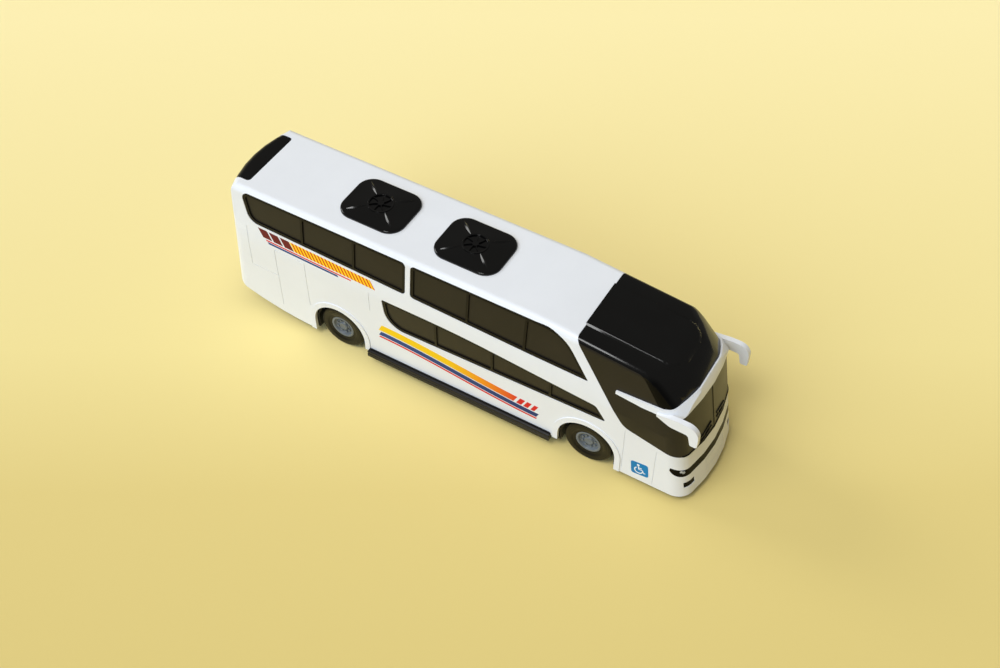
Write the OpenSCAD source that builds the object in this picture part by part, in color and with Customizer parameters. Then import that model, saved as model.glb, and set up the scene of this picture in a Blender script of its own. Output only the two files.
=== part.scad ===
// Toy double-deck touring coach: a hollow moulded body on a black base, with smoked
// glazing, a gloss black front cap and two free-rolling wheelsets.
// Frame: +X is the front, +Y the left side, +Z up, the ground is z = 0.

/* [Body] */
// Length over the body
body_length = 423.4; // [416:0.2:432]
// Width over the flat sides
body_width = 87; // [84:0.5:92]
// Height of the roof above the ground
roof_height = 131; // [127:0.5:136]
// Thickness of the moulded walls
wall = 2; // [1.8:0.1:2.4]
// Height at which the sides start to lean in
waist_height = 83; // [82:0.5:86]
// Lean of the upper sides, in degrees
side_lean = 6.5; // [5:0.5:7]
// Radius along the roof edges
shoulder_radius = 6; // [5:0.5:7]
// Radius of the soft bend at the waist
waist_radius = 150; // [100:10:200]
// Height of the body's lower edge between the wheels
middle_skirt = 12; // [11.8:0.1:13]
// Height of the front and rear skirts at the wheel arches
nose_bottom = 7.6; // [7:0.1:8.5]
// How far the rear skirt sweeps up
tail_rise = 18.2; // [15:0.2:20]

/* [Nose and tail] */
// Rake of the nose, in degrees
nose_rake = 9.3; // [8:0.1:10]
// Radius of the nose's bow seen from above
nose_bow_radius = 127; // [110:1:180]
// Radius of the front corners seen from above
nose_corner_radius = 14; // [12:0.5:16]
// Rake of the tail, in degrees
tail_rake = 4.3; // [3:0.1:5.5]
// Radius of the tail's bow seen from above
tail_bow_radius = 95; // [85:1:120]
// Radius of the rear corners seen from above
tail_corner_radius = 12; // [9:0.5:14]
// Radius between the roof and the tail
tail_roof_radius = 8; // [6:0.5:10]

/* [Front cap and glass] */
// Length of the black cap, measured back from the bumper
cap_length = 107.5; // [104:0.5:110]
// Distance between the cap and the roof's bend behind it
roof_bend_setback = 30; // [24:1:36]
// Downward slope of the roof ahead of the bend, in degrees
cap_slope = 5.3; // [4.6:0.1:6]
// Radius between the cap's roof and its front
cap_front_radius = 34; // [30:1:38]
// Rake of the cap's bowed front, in degrees
brow_rake = 42; // [39:0.5:45]
// Radius of the cap's front seen along its rake
brow_bow_radius = 60; // [56:1:70]
// Radius of the cap's front corners seen along its rake
brow_corner_radius = 16; // [14:0.5:18]
// How much narrower the bowed front is than the body, on each side
brow_inset = 1.9; // [1.6:0.1:2.4]
// How far the bowed front lies ahead of the cap's rounded edge
brow_lead = 1.6; // [1:0.1:2.2]
// Depth of the cap's edge below its roof, along the sides
cap_side_drop = 3; // [2.5:0.1:4]
// Distance of the cap's side elbow behind the bumper
cap_elbow_setback = 52; // [48:0.5:56]
// Distance of the cap's foot behind the bumper
cap_foot_setback = 36.5; // [34:0.5:40]
// Width of the raised panel in the middle of the cap
cap_panel_width = 46; // [40:0.5:50]
// Length of the raised panel
cap_panel_length = 76.5; // [72:0.5:80]
// How far the panel stands up
cap_panel_rise = 0.9; // [0.6:0.1:1.2]
// Slant of the white pillar behind the front glass, in degrees
pillar_angle = 55.5; // [54:0.1:57]
// Height of the front glass at its lower rear corner
glass_height = 62.4; // [60:0.2:64]
// Fall of the glass's lower edge towards the front, in degrees
glass_fall = 13.6; // [12:0.2:15]
// Radius of the glass's lower rear corner
glass_corner_radius = 14; // [10:0.5:18]

/* [Visor and mirrors] */
// Depth of the visor band's lower edge below the roof
visor_drop = 38.4; // [37:0.2:40]
// Height of the visor band at the front
visor_tall = 14.8; // [13.6:0.2:15.8]
// How far the visor's lower edge arches up across the front
visor_arch = 4.8; // [4:0.1:5.6]
// Distance of the visor's corners behind the bumper
visor_corner_setback = 27; // [25:0.5:29]
// How far the visor stands proud of the glass
visor_proud = 1.6; // [1.2:0.1:2.2]
// Distance of the spear's tip behind the bumper
spear_setback = 69.5; // [66:0.5:73]
// Thickness of the spear at its tip
spear_tip = 2.2; // [1.8:0.1:2.6]
// Height of the spear's tip above the visor's lower edge
spear_lift = 2.4; // [1.6:0.1:3]
// Height of the spear at the visor's corners
spear_tall = 6; // [5.4:0.1:6.6]
// Reach of a mirror arm from its root to its elbow
mirror_reach = 33; // [30:0.5:36]
// Height of a mirror arm's upper edge above the visor's lower edge
mirror_rise = 4.4; // [3.6:0.1:5.5]
// Height of a mirror arm
mirror_height = 9.6; // [8:0.1:11]
// Drop of a mirror's tip below the arm's upper edge
mirror_drop = 19.5; // [17:0.5:22]
// Length of a mirror's tip along the bus
mirror_tip = 5.6; // [4.5:0.1:7]
// Thickness of a mirror arm
mirror_thickness = 4; // [3.2:0.1:5]
// Direction of a mirror arm, outwards from straight ahead, in degrees
mirror_splay = 1; // [0.5:0.5:4]

/* [Side windows] */
// Gap between the tail and the upper windows
upper_rear_margin = 25.2; // [23:0.2:28]
// How far the upper windows' rear edge slants forwards
upper_rear_slant = 7; // [5:0.5:9]
// Depth of the upper windows' top edge below the roof
upper_top_drop = 3.2; // [2.8:0.1:4]
// Height of the upper windows' lower edge at mid length
upper_sill = 96; // [95:0.1:98]
// Fall of the upper windows' lower edge towards the front, in degrees
upper_fall = 1.6; // [1.2:0.1:1.9]
// Width of the white bar between the upper window groups
upper_bar = 4.3; // [4:0.1:6]
// Width of the slanted white pillar behind the front glass
pillar_width = 8.4; // [7:0.1:10]
// Distance of the lower windows' rear end ahead of the rear axle
lower_rear_offset = 44; // [41:0.5:48]
// Height of the lower windows' top edge at the rear
lower_top = 81.4; // [80:0.1:81.8]
// Height of the lower windows' bottom edge at the rear
lower_bottom = 52.8; // [52:0.1:54]
// Fall of the top edge over the front half of the lower windows
lower_top_fall = 9.6; // [8:0.1:11]
// Rise of the bottom edge over the whole of the lower windows
lower_bottom_rise = 5.4; // [4:0.1:6.5]
// Distance between the lower windows' tip and the front glass
lower_tip_gap = 16.6; // [14:0.2:19]
// Width of the black frame round the glazing
frame_border = 2.6; // [2:0.1:3.2]
// Width of a mullion
mullion_width = 2; // [1.6:0.1:2.6]
// How far a frame sits below the body's surface
frame_sunk = 0.4; // [0.2:0.05:0.6]
// Depth of a frame
frame_depth = 1; // [0.8:0.05:1.3]
// Thickness of the glazing's flange inside the wall
flange_depth = 1.2; // [0.8:0.1:1.6]
// How far the glazing's flange reaches behind the wall
flange_width = 1.5; // [1:0.1:1.8]

/* [Rear window] */
// Width of the rear window
rear_window_width = 57; // [50:0.5:60]
// How far the rear window reaches onto the roof
rear_window_reach = 19; // [16:0.5:22]
// Depth of the rear window's lower edge below the roof
rear_window_drop = 34; // [26:0.5:41]
// Corner radius of the rear window
rear_window_radius = 3; // [2:0.5:5]

/* [Lamps] */
// Height of the headlight strip's lower edge at the front
strip_low = 29.4; // [28:0.2:31]
// Height of the strip at the front
strip_tall = 7.2; // [6:0.1:8]
// Distance of the strip's side tips behind the bumper
strip_setback = 21; // [18:0.5:24]
// Rise of the strip towards its side tips
strip_rise = 3; // [2:0.1:4]
// Depth of the recesses for the strip and the fog lamps
lamp_depth = 1; // [0.8:0.1:1.2]
// Height of the fog lamps' lower edge
fog_low = 16.8; // [15.6:0.2:18.4]
// Height of a fog lamp
fog_tall = 5.8; // [5:0.1:7]
// Distance of the fog lamps' inner ends from the middle
fog_inner = 29; // [26:0.5:31]
// Length of a fog lamp across the bus
fog_length = 10; // [8:0.5:11]

/* [Roof hatches] */
// Length of a hatch along the bus
hatch_length = 55.5; // [50:0.5:60]
// Width of a hatch
hatch_width = 46; // [42:0.5:50]
// Corner radius of a hatch
hatch_radius = 13; // [11:0.5:15]
// Height of a hatch above the roof
hatch_rise = 3.4; // [3:0.1:4.2]
// Distance of the rear hatch's middle from the tail
hatch_setback = 130; // [122:0.2:138]
// Distance between the hatches
hatch_pitch = 83.5; // [76:0.5:90]
// Outer diameter of the moulded fan
fan_diameter = 20.5; // [17:0.5:22]

/* [Wheels] */
// Distance between the axles
wheelbase = 224; // [216:0.5:230]
// Distance of the front axle behind the bumper
front_overhang = 88.5; // [86:0.5:92]
// Outer diameter of a tyre
tyre_diameter = 40.4; // [39:0.2:42]
// Width of a tyre
tyre_width = 14; // [12:0.5:14.5]
// Diameter of a hub
hub_diameter = 21; // [18:0.5:24]
// Diameter of an axle
axle_diameter = 3; // [2.5:0.1:4]
// Gap between a tyre's outer face and the body's side
wheel_inset = 2.2; // [1.6:0.1:3]
// Radius of the wheel arches
arch_radius = 24.2; // [23.8:0.1:25]
// Width of the raised lip round an arch
lip_width = 4.6; // [3:0.1:6]
// How far the lip stands proud
lip_proud = 0.8; // [0.5:0.1:1.2]

/* [Base] */
// Height of the base's underside
floor_height = 9; // [8.6:0.1:9.2]
// Thickness of the base
floor_thickness = 2.5; // [2:0.1:2.6]
// How far the side sills stand out
sill_proud = 3.6; // [3:0.1:4.5]
// Height of the sills' upper edge
sill_top = 15.6; // [15:0.1:17]
// Height of the sills' lower edge
sill_bottom = 8.4; // [7.8:0.1:8.8]
// Distance of the sills' rear ends ahead of the rear axle
sill_rear_gap = 28; // [27:0.5:32]
// Distance of the sills' front ends behind the front axle
sill_front_gap = 30; // [28:0.5:33]
// Radius of the wheel houses
house_radius = 22.4; // [22:0.1:22.8]
// Thickness of the wheel houses
house_wall = 1.2; // [1:0.1:1.4]
// Thickness of a bearing web
web_thickness = 2.5; // [2:0.1:3]
// Diameter of a screw post inside the body
post_diameter = 8; // [7:0.5:9]
// Distance between the posts of a pair
post_spacing = 40; // [36:0.5:44]
// Distance of the rear posts from the tail
post_rear_setback = 66.6; // [62:0.2:70]
// Distance of the front posts behind the cap
post_front_gap = 19.4; // [16:0.2:22]
// Diameter of a screw's shank
screw_diameter = 2.4; // [2:0.1:3]
// Length of a screw below its head
screw_length = 12; // [10:0.5:14]

/* [Clearances] */
// Gap round pieces that are set into an opening
fit = 0.12; // [0.08:0.01:0.2]
// Gap between faces that seat on each other
seat = 0.05; // [0.02:0.01:0.1]
// Radial running clearance of an axle
running = 0.06; // [0.03:0.01:0.1]
// Gap between the base and the body's walls
base_gap = 0.3; // [0.2:0.05:0.5]

/* [Hidden] */
$fn = 64;
// Overrun of cuts and of shapes that others trim
over = 6;
// Widest step of an arc in degrees, and the fewest steps of an arc
arc_step = 8;
arc_fewest = 4;
right = -1;
left = 1;

half_length = body_length / 2;
half_width = body_width / 2;
front_axle_x = half_length - front_overhang;
rear_axle_x = front_axle_x - wheelbase;
axle_z = tyre_diameter / 2;
cap_start = half_length - cap_length;
slope_start = cap_start - roof_bend_setback;
shoulder_y = half_width - (roof_height - waist_height) * tan(side_lean);

// Widths of panel lines and of the louvres on the tail, and the depth of both
line_width = 0.5;
line_depth = 0.35;
louvre_width = 1.4;
// Panel lines as shares: distance from the tail over the length, lowest and highest point over the height
panel_line_shares = [[0.068, 0.41, 0.73], [0.1285, 0.145, 0.63], [0.196, 0.26, 0.63], [0.338, 0.473, 0.63],
    [0.862, 0.1, 0.455], [0.923, 0.075, 0.39]];
// Lengthwise panel lines as shares: height over the roof's height, first and last place over the length
panel_row_shares = [[0.41, 0.068, 0.1285], [0.63, 0.1285, 0.196]];
// Plate recess on the bumper as shares of the body's width and the roof's height: width, lowest, highest
plate_shares = [0.34, 0.125, 0.2];
// Engine cover on the tail as shares in the same way, and the count of its louvres
cover_shares = [0.62, 0.28, 0.62];
louvre_count = 5;

// Outlines

function unit(v) = v / norm(v);
function turn(angle) = angle - 360 * round(angle / 360);
function arc(centre, radius, from, sweep) =
    let (n = max(arc_fewest, ceil(abs(sweep) / arc_step)))
    [for (k = [0:n]) centre + radius * [cos(from + sweep * k / n), sin(from + sweep * k / n)]];
function inner(points) = [for (k = [1:len(points) - 2]) points[k]];
function plain(point) = [point[0], point[1]];
// One corner of an outline, as an arc that touches both edges
function corner(before, point, after, radius) =
    radius == 0 ? [point] :
    let (u = unit(before - point), w = unit(after - point), half = acos(u * w) / 2,
        centre = point + unit(u + w) * radius / sin(half),
        first = point + u * radius / tan(half) - centre,
        last = point + w * radius / tan(half) - centre,
        from = atan2(first[1], first[0]))
    arc(centre, radius, from, turn(atan2(last[1], last[0]) - from));
// An outline whose points each carry a corner radius
function rounded(points) =
    let (n = len(points))
    [for (i = [0:n - 1]) each corner(plain(points[(i + n - 1) % n]), plain(points[i]),
        plain(points[(i + 1) % n]), points[i][2])];
function rectangle(x0, y0, x1, y1, radius) =
    rounded([[x0, y0, radius], [x1, y0, radius], [x1, y1, radius], [x0, y1, radius]]);
// Centre of the arc that touches the two lines through a corner, from the lines' outward normals
function arc_centre(point, first, second, radius) = point - radius * (first + second) / (1 + first * second);
// Plan of a bowed end with rounded corners and sides that may flare, measured back from its foremost point
function bowed_plan(half, bow, radius, flare) =
    let (y = half - radius, x = sqrt(pow(bow - radius, 2) - pow(y, 2)) - bow, blend = asin(y / (bow - radius)),
        end = [x + radius * sin(flare), y + radius * cos(flare)] + 4 * body_length * [-cos(flare), sin(flare)])
    concat([[end[0], -end[1]]],
        arc([x, -y], radius, flare - 90, 90 - flare - blend),
        inner(arc([-bow, 0], bow, -blend, 2 * blend)),
        arc([x, y], radius, blend, 90 - flare - blend),
        [end]);

// Lines that several pieces share

function nose_x(z) = half_length - (z - nose_bottom) * tan(nose_rake);
function tail_x(z) = -half_length + (z - nose_bottom - tail_rise) * tan(tail_rake);
function slope_z(x) = roof_height - (x - slope_start) * tan(cap_slope);
function pillar_x(z) = cap_start + (roof_height - z) / tan(pillar_angle);
function upper_sill_z(x) = upper_sill - x * tan(upper_fall);
function tail_share(x) = max(0, (rear_axle_x - arch_radius - x) / (rear_axle_x - arch_radius + half_length));

// How far the floor sweeps up towards the tail
function floor_lift(x) = tail_rise * pow(tail_share(x), 2);

// Side view of the body without its skirts; it runs just ahead of the bowed nose and well behind the tail
nose_margin = 0.4;
nose_foot = half_length + nose_margin + nose_bottom * tan(nose_rake);
cap_corner_z = (roof_height - (nose_foot - slope_start) * tan(cap_slope))
    / (1 - tan(cap_slope) * tan(nose_rake));
cap_corner = [nose_x(cap_corner_z) + nose_margin, cap_corner_z];
profile = rounded([
    [-half_length - over, -over, 0],
    [nose_x(-over) + nose_margin, -over, 0],
    [cap_corner[0], cap_corner[1], cap_front_radius],
    [slope_start, roof_height, 0],
    [-half_length - over, roof_height, 0]]);

// Cross-section of the body
section = rounded([
    [-half_width, -over, 0],
    [half_width, -over, 0],
    [half_width, waist_height, waist_radius],
    [shoulder_y, roof_height, shoulder_radius],
    [-shoulder_y, roof_height, shoulder_radius],
    [-half_width, waist_height, waist_radius]]);

// Cross-section under the sloping roof of the cap, with the leaning sides carried on downwards
cap_section_y = shoulder_y + (roof_height + body_length) * tan(side_lean);
cap_section = rounded([
    [-cap_section_y, -body_length, 0],
    [cap_section_y, -body_length, 0],
    [shoulder_y, roof_height, shoulder_radius],
    [-shoulder_y, roof_height, shoulder_radius]]);

// Plans of the nose, the cap's front and the tail
nose_plan = bowed_plan(half_width, nose_bow_radius, nose_corner_radius, 0);
brow_flare = 10;
brow_plan = bowed_plan(half_width - brow_inset, brow_bow_radius, brow_corner_radius, brow_flare);
tail_plan = bowed_plan(half_width, tail_bow_radius, tail_corner_radius, 0);

// The cap's front as facets round its rounded edge, each following the bow
brow_facets = 4;
cap_centre = arc_centre(cap_corner, [cos(nose_rake), sin(nose_rake)], [sin(cap_slope), cos(cap_slope)],
    cap_front_radius);
function brow_tilt(k) = brow_rake + (90 - cap_slope - brow_rake) * k / (brow_facets + 1);

// The tail's edge to the roof, as facets that each follow the bow
tail_facets = 5;
tail_centre = arc_centre([tail_x(roof_height), roof_height], [-cos(tail_rake), sin(tail_rake)], [0, 1],
    tail_roof_radius);
function tail_tilt(k) = tail_rake + (90 - tail_rake) * k / (tail_facets + 1);

// Lower edge of the body, from the tail to the nose
tail_steps = 8;
skirt = concat(
    [for (k = [0:tail_steps])
        let (x = -half_length + (rear_axle_x - arch_radius + half_length) * k / tail_steps)
        [x - (k == 0 ? over : 0), nose_bottom + floor_lift(x)]],
    [[rear_axle_x, nose_bottom], [rear_axle_x, middle_skirt], [front_axle_x, middle_skirt],
    [front_axle_x, nose_bottom], [half_length + over, nose_bottom],
    [half_length + over, roof_height + over], [-half_length - over, roof_height + over]]);

// Opening at the front for the cap and the glass
glass_corner_x = pillar_x(glass_height);
front_opening = rounded([
    [cap_start, roof_height + over, 0],
    [cap_start, roof_height, 0],
    [glass_corner_x, glass_height, glass_corner_radius],
    [half_length + over, glass_height - (half_length + over - glass_corner_x) * tan(glass_fall), 0],
    [half_length + over, roof_height + over, 0]]);

// Side view of the cap, whose foot meets the visor band
visor_low = roof_height - visor_drop;
visor_high = visor_low + visor_tall;
cap_foot_z = (visor_low + visor_high) / 2 - spear_tip;
cap_edge_drop = (roof_bend_setback * tan(cap_slope) + cap_side_drop) / (1 - tan(cap_slope) / tan(pillar_angle));
cap_elbow_x = half_length - cap_elbow_setback;
cap_elbow_radius = cap_side_drop * 3;
cap_side = rounded([
    [cap_start - over, roof_height + over, 0],
    [cap_start - over, roof_height - cap_edge_drop, 0],
    [pillar_x(roof_height - cap_edge_drop), roof_height - cap_edge_drop, 0],
    [cap_elbow_x, slope_z(cap_elbow_x) - cap_side_drop, cap_elbow_radius],
    [half_length - cap_foot_setback, cap_foot_z, 0],
    [half_length + over, cap_foot_z, 0],
    [half_length + over, roof_height + over, 0]]);

// Raised panel of the cap, seen from above
cap_panel = rounded([
    [cap_start + fit, -cap_panel_width / 2, 0],
    [cap_start + cap_panel_length, -cap_panel_width / 2, cap_panel_width / 3],
    [cap_start + cap_panel_length, cap_panel_width / 2, cap_panel_width / 3],
    [cap_start + fit, cap_panel_width / 2, 0]]);

// Side view of the visor band with its spear
visor_corner_x = half_length - visor_corner_setback;
spear_root_x = half_length - (spear_setback + visor_corner_setback) / 2;
visor_side = rounded([
    [half_length - spear_setback, visor_low + spear_lift, 0],
    [spear_root_x, visor_low, nose_corner_radius],
    [visor_corner_x + nose_corner_radius / 2, visor_low, nose_corner_radius / 2],
    [nose_x(visor_low + visor_arch) + visor_proud, visor_low + visor_arch, nose_corner_radius / 4],
    [half_length + over, visor_low + visor_arch, 0],
    [half_length + over, visor_high, 0],
    [nose_x(visor_high), visor_high, nose_corner_radius / 2],
    [visor_corner_x, visor_low + spear_tall, nose_corner_radius / 2],
    [half_length - spear_setback, visor_low + spear_lift + spear_tip, 0]]);

// Length of a mirror's bend, as a share of its tip
mirror_elbow_share = 1.4;

// Side windows
upper_top = roof_height - upper_top_drop;
upper_start = -half_length + upper_rear_margin;
pillar_step = pillar_width / sin(pillar_angle);
upper_tip_x = (cap_start - pillar_step + (roof_height - upper_sill) / tan(pillar_angle))
    / (1 - tan(upper_fall) / tan(pillar_angle));
upper_split = (upper_start + upper_tip_x) / 2;
// Corner radii of the window groups as shares of a group's height
small_corner_share = 0.11;
rear_corner_share = 0.34;
lower_corner_share = 0.62;
front_curve_share = 0.95;
upper_height = upper_top - upper_sill;
upper_rear_outline = rounded([
    [upper_start + upper_rear_slant, upper_sill_z(upper_start), upper_height * rear_corner_share],
    [upper_split - upper_bar / 2, upper_sill_z(upper_split), upper_height * small_corner_share],
    [upper_split - upper_bar / 2, upper_top, upper_height * small_corner_share],
    [upper_start, upper_top, upper_height * rear_corner_share / 2]]);
upper_front_outline = rounded([
    [upper_split + upper_bar / 2, upper_sill_z(upper_split), upper_height * small_corner_share],
    [upper_tip_x, upper_sill_z(upper_tip_x), upper_height * small_corner_share / 4],
    [pillar_x(upper_top) - pillar_step, upper_top, upper_height * front_curve_share],
    [upper_split + upper_bar / 2, upper_top, upper_height * small_corner_share]]);
lower_start = rear_axle_x + lower_rear_offset;
lower_height = lower_top - lower_bottom;
lower_tip_z = lower_bottom + lower_bottom_rise;
lower_tip_x = pillar_x(lower_tip_z) - lower_tip_gap;
lower_brow_z = lower_top - lower_top_fall;
lower_brow_x = lower_tip_x - (lower_brow_z - lower_tip_z) / tan(pillar_angle);
// Where the lower windows' top edge starts to fall, as a share of the group's length
lower_bend_share = 0.36;
lower_bend_x = lower_start + (lower_tip_x - lower_start) * lower_bend_share;
lower_bend_radius = waist_radius * 5;
lower_outline = rounded([
    [lower_start + upper_rear_slant / 2, lower_bottom, lower_height * lower_corner_share],
    [lower_tip_x, lower_tip_z, lower_height * small_corner_share / 2],
    [lower_brow_x, lower_brow_z, lower_height * rear_corner_share / 2],
    [lower_bend_x, lower_top, lower_bend_radius],
    [lower_start, lower_top, lower_height * small_corner_share / 2]]);
// Places of the mullions as shares of a group's length
upper_rear_mullion_shares = [0.376, 0.69];
upper_front_mullion_shares = [0.325, 0.646];
lower_mullion_shares = [0.247, 0.502, 0.758];
function along(start, end, shares) = [for (s = shares) start + (end - start) * s];
upper_rear_mullions = along(upper_start, upper_split - upper_bar / 2, upper_rear_mullion_shares);
upper_front_mullions = along(upper_split + upper_bar / 2, upper_tip_x, upper_front_mullion_shares);
lower_mullions = along(lower_start, lower_tip_x, lower_mullion_shares);

// Rear window
rear_window_sill = roof_height - rear_window_drop;

// Headlight strip, in side view
strip_high = strip_low + strip_tall;
strip_side = rounded([
    [half_length - strip_setback, strip_high + strip_rise, strip_tall / 8],
    [half_length - strip_setback, strip_high + strip_rise - strip_tall / 2, strip_tall / 8],
    [nose_x(strip_low) - nose_corner_radius, strip_low + strip_rise / 2, nose_corner_radius],
    [nose_x(strip_low) - nose_corner_radius / 2, strip_low, nose_corner_radius / 2],
    [half_length + over, strip_low, 0],
    [half_length + over, strip_high, 0],
    [nose_x(strip_low) - nose_corner_radius / 2, strip_high, nose_corner_radius]]);

// Wheels
wheel_y = half_width - wheel_inset - tyre_width / 2;
hub_radius = hub_diameter / 2;
axle_radius = axle_diameter / 2;
// Sidewall and tread details as shares of the tyre's radius
tread_round_share = 0.12;
tread_groove_share = 0.035;
wall_step_share = 0.05;
// Hub profile details as shares of the hub's radius
rim_share = 0.82;
boss_share = 0.34;
nut_circle_share = 0.58;
nut_share = 0.085;
nut_rise_share = 0.8;
nut_count = 8;
dish_depth = tyre_width / 5;
hub_face = tyre_width / 2 - wall_step_share * axle_z;
axle_half = wheel_y + hub_face - dish_depth;

// Base
web_y = half_width - wheel_inset - tyre_width - base_gap - web_thickness;
house_y = half_width - wall - 2 * base_gap;
sill_start = rear_axle_x + sill_rear_gap;
sill_end = front_axle_x - sill_front_gap;
sill_groove = sill_proud / 5;
floor_top = floor_height + floor_thickness;
floor_line = concat(
    [for (k = [0:tail_steps]) let (x = -half_length + (rear_axle_x + half_length) * k / tail_steps)
        [x, floor_height + floor_lift(x)]],
    [[half_length, floor_height]]);
post_places = [for (x = [-half_length + post_rear_setback, cap_start - post_front_gap])
    for (side = [right, left]) [x, side * post_spacing / 2]];
function post_top(x) = min(roof_height, slope_z(x + post_diameter / 2)) - wall / 2;
// Screw heads as shares of the shank's diameter
screw_head_share = 2;
screw_head_rise_share = 0.55;
screw_head_rise = screw_diameter * screw_head_rise_share;
screw_head_radius = screw_diameter * screw_head_share / 2;

// Hatches
hatch_places = [-half_length + hatch_setback, -half_length + hatch_setback + hatch_pitch];
hatch_edge_share = 0.7;
hatch_edge = hatch_rise * hatch_edge_share;
hatch_slope_inset = hatch_rise;
peg_diameter = hatch_radius / 3;
peg_spacing = hatch_length / 2;
fan_radius = fan_diameter / 2;
fan_ring = fan_radius / 8;
fan_blades = 7;
fan_relief = hatch_rise / 5;
// Height of the fan's hub, as a share of the ring's relief
fan_hub_share = 1.5;
// How far the ribs reach into the rounded corners, as a share of the corner radius
rib_reach_share = 0.7;

// Extrusions of side views along Y, of cross-sections along X and of the plan along tilted uprights

module along_y(from, to) {
    translate([0, to, 0])
        rotate([90, 0, 0])
            linear_extrude(to - from)
                children();
}

module along_x(from, to) {
    translate([from, 0, 0])
        rotate([90, 0, 90])
            linear_extrude(to - from)
                children();
}

module across() {
    along_y(-body_width, body_width)
        children();
}

module lengthwise() {
    along_x(-body_length, body_length)
        children();
}

// One side's depth, from well inside the wall outwards
module one_side(side) {
    depth = half_width / 3;
    along_y(side == left ? half_width - depth : -half_width - depth,
        side == left ? half_width + depth : -half_width + depth)
        children();
}

module section_solid(inset) {
    lengthwise()
        offset(delta = -inset)
            polygon(section);
}

// A bowed plan along an upright that leans back by tilt, through a point of the side view
module leaning(point, tilt, turned) {
    translate([point[0], 0, point[1]])
        rotate([0, tilt, turned])
            translate([0, 0, -2 * body_length])
                linear_extrude(4 * body_length)
                    children();
}

module nose_solid(inset) {
    leaning([half_length, nose_bottom], -nose_rake, 0)
        offset(delta = -inset)
            polygon(nose_plan);
}

module brow_solid(inset) {
    intersection_for (k = [0:brow_facets]) {
        tilt = brow_tilt(k);
        leaning(cap_centre + (cap_front_radius + brow_lead) * [cos(tilt), sin(tilt)], -tilt, 0)
            offset(delta = -inset)
                polygon([for (p = brow_plan) [p[0] * cos(tilt) / cos(brow_rake), p[1]]]);
    }
}

module tail_solid(inset) {
    intersection_for (k = [0:tail_facets]) {
        tilt = tail_tilt(k);
        leaning(tail_centre + tail_roof_radius * [-cos(tilt), sin(tilt)], -tilt, 180)
            offset(delta = -inset)
                polygon([for (p = tail_plan) [p[0] * cos(tilt), p[1]]]);
    }
}

module cap_slope_solid(inset) {
    translate([slope_start, 0, roof_height])
        rotate([0, cap_slope, 0])
            translate([-slope_start, 0, -roof_height])
                along_x(-2 * body_length, 2 * body_length)
                    offset(delta = -inset)
                        polygon(cap_section);
}

// The body's sides and roof, moved inwards by inset
module sides_and_roof(inset) {
    intersection() {
        section_solid(inset);
        cap_slope_solid(inset);
    }
}

// The front half's outer form
module front_form(inset) {
    intersection() {
        across()
            offset(delta = -inset)
                polygon(profile);
        sides_and_roof(inset);
        nose_solid(inset);
        brow_solid(inset);
    }
}

// The whole outer form
module coach(inset) {
    intersection() {
        front_form(inset);
        tail_solid(inset);
    }
}

module front_skin(outer, inner_face) {
    difference() {
        front_form(outer);
        front_form(inner_face);
    }
}

module skin(outer, inner_face) {
    difference() {
        coach(outer);
        coach(inner_face);
    }
}

// The body's sides between two depths
module side_skin(outer, inner_face) {
    difference() {
        sides_and_roof(outer);
        sides_and_roof(inner_face);
    }
}

// Body

module at_wheels() {
    for (x = [rear_axle_x, front_axle_x])
        translate([x, axle_z])
            children();
}

// An arch in side view: round above the axle, straight below it
module arch_outline(radius) {
    circle(radius);
    translate([-radius, -axle_z - over])
        square([2 * radius, axle_z + over]);
}

module arch_lips() {
    for (side = [right, left])
        intersection() {
            along_y(side == left ? half_width - wall : -half_width - lip_proud,
                side == left ? half_width + lip_proud : -half_width + wall)
                intersection() {
                    at_wheels()
                        arch_outline(arch_radius + lip_width);
                    polygon(skirt);
                }
            across()
                at_wheels()
                    arch_outline(arch_radius + lip_width);
        }
}

// Screw posts from the roof down to the floor, whose sweep their feet follow
module posts() {
    difference() {
        for (p = post_places)
            translate([p[0], p[1], floor_height])
                difference() {
                    cylinder(h = post_top(p[0]) - floor_height, d = post_diameter);
                    translate([0, 0, -over])
                        cylinder(h = floor_lift(p[0]) + screw_length + 2 * over,
                            d = screw_diameter + 2 * running);
                }
        across()
            polygon(concat([for (p = floor_line) p + [0, floor_thickness + seat]],
                [[half_length, -over], [-half_length, -over]]));
    }
}

module panel_lines() {
    for (s = panel_line_shares)
        translate([-half_length + s[0] * body_length - line_width / 2, s[1] * roof_height])
            square([line_width, (s[2] - s[1]) * roof_height]);
    for (s = panel_row_shares)
        translate([-half_length + s[1] * body_length, s[0] * roof_height - line_width / 2])
            square([(s[2] - s[1]) * body_length, line_width]);
}

// A framed panel on the nose or tail, as a ring in the cross-section's plane
module panel_ring(shares) {
    half = shares[0] * body_width / 2;
    difference() {
        translate([-half, shares[1] * roof_height])
            square([2 * half, (shares[2] - shares[1]) * roof_height]);
        translate([-half + line_width, shares[1] * roof_height + line_width])
            square([2 * (half - line_width), (shares[2] - shares[1]) * roof_height - 2 * line_width]);
    }
}

module louvres() {
    half = cover_shares[0] * body_width / 2 - louvre_width * 2;
    pitch = (cover_shares[2] - cover_shares[1]) * roof_height / (louvre_count + 1);
    for (k = [1:louvre_count])
        translate([-half, cover_shares[1] * roof_height + pitch * k - louvre_width / 2])
            square([2 * half, louvre_width]);
}

module surface_lines() {
    difference() {
        across()
            panel_lines();
        section_solid(line_depth);
    }
    difference() {
        along_x(half_length / 2, half_length + over)
            panel_ring(plate_shares);
        nose_solid(line_depth);
    }
    difference() {
        along_x(-half_length - over, -half_length / 2) {
            panel_ring(cover_shares);
            louvres();
        }
        tail_solid(line_depth);
    }
}

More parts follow.
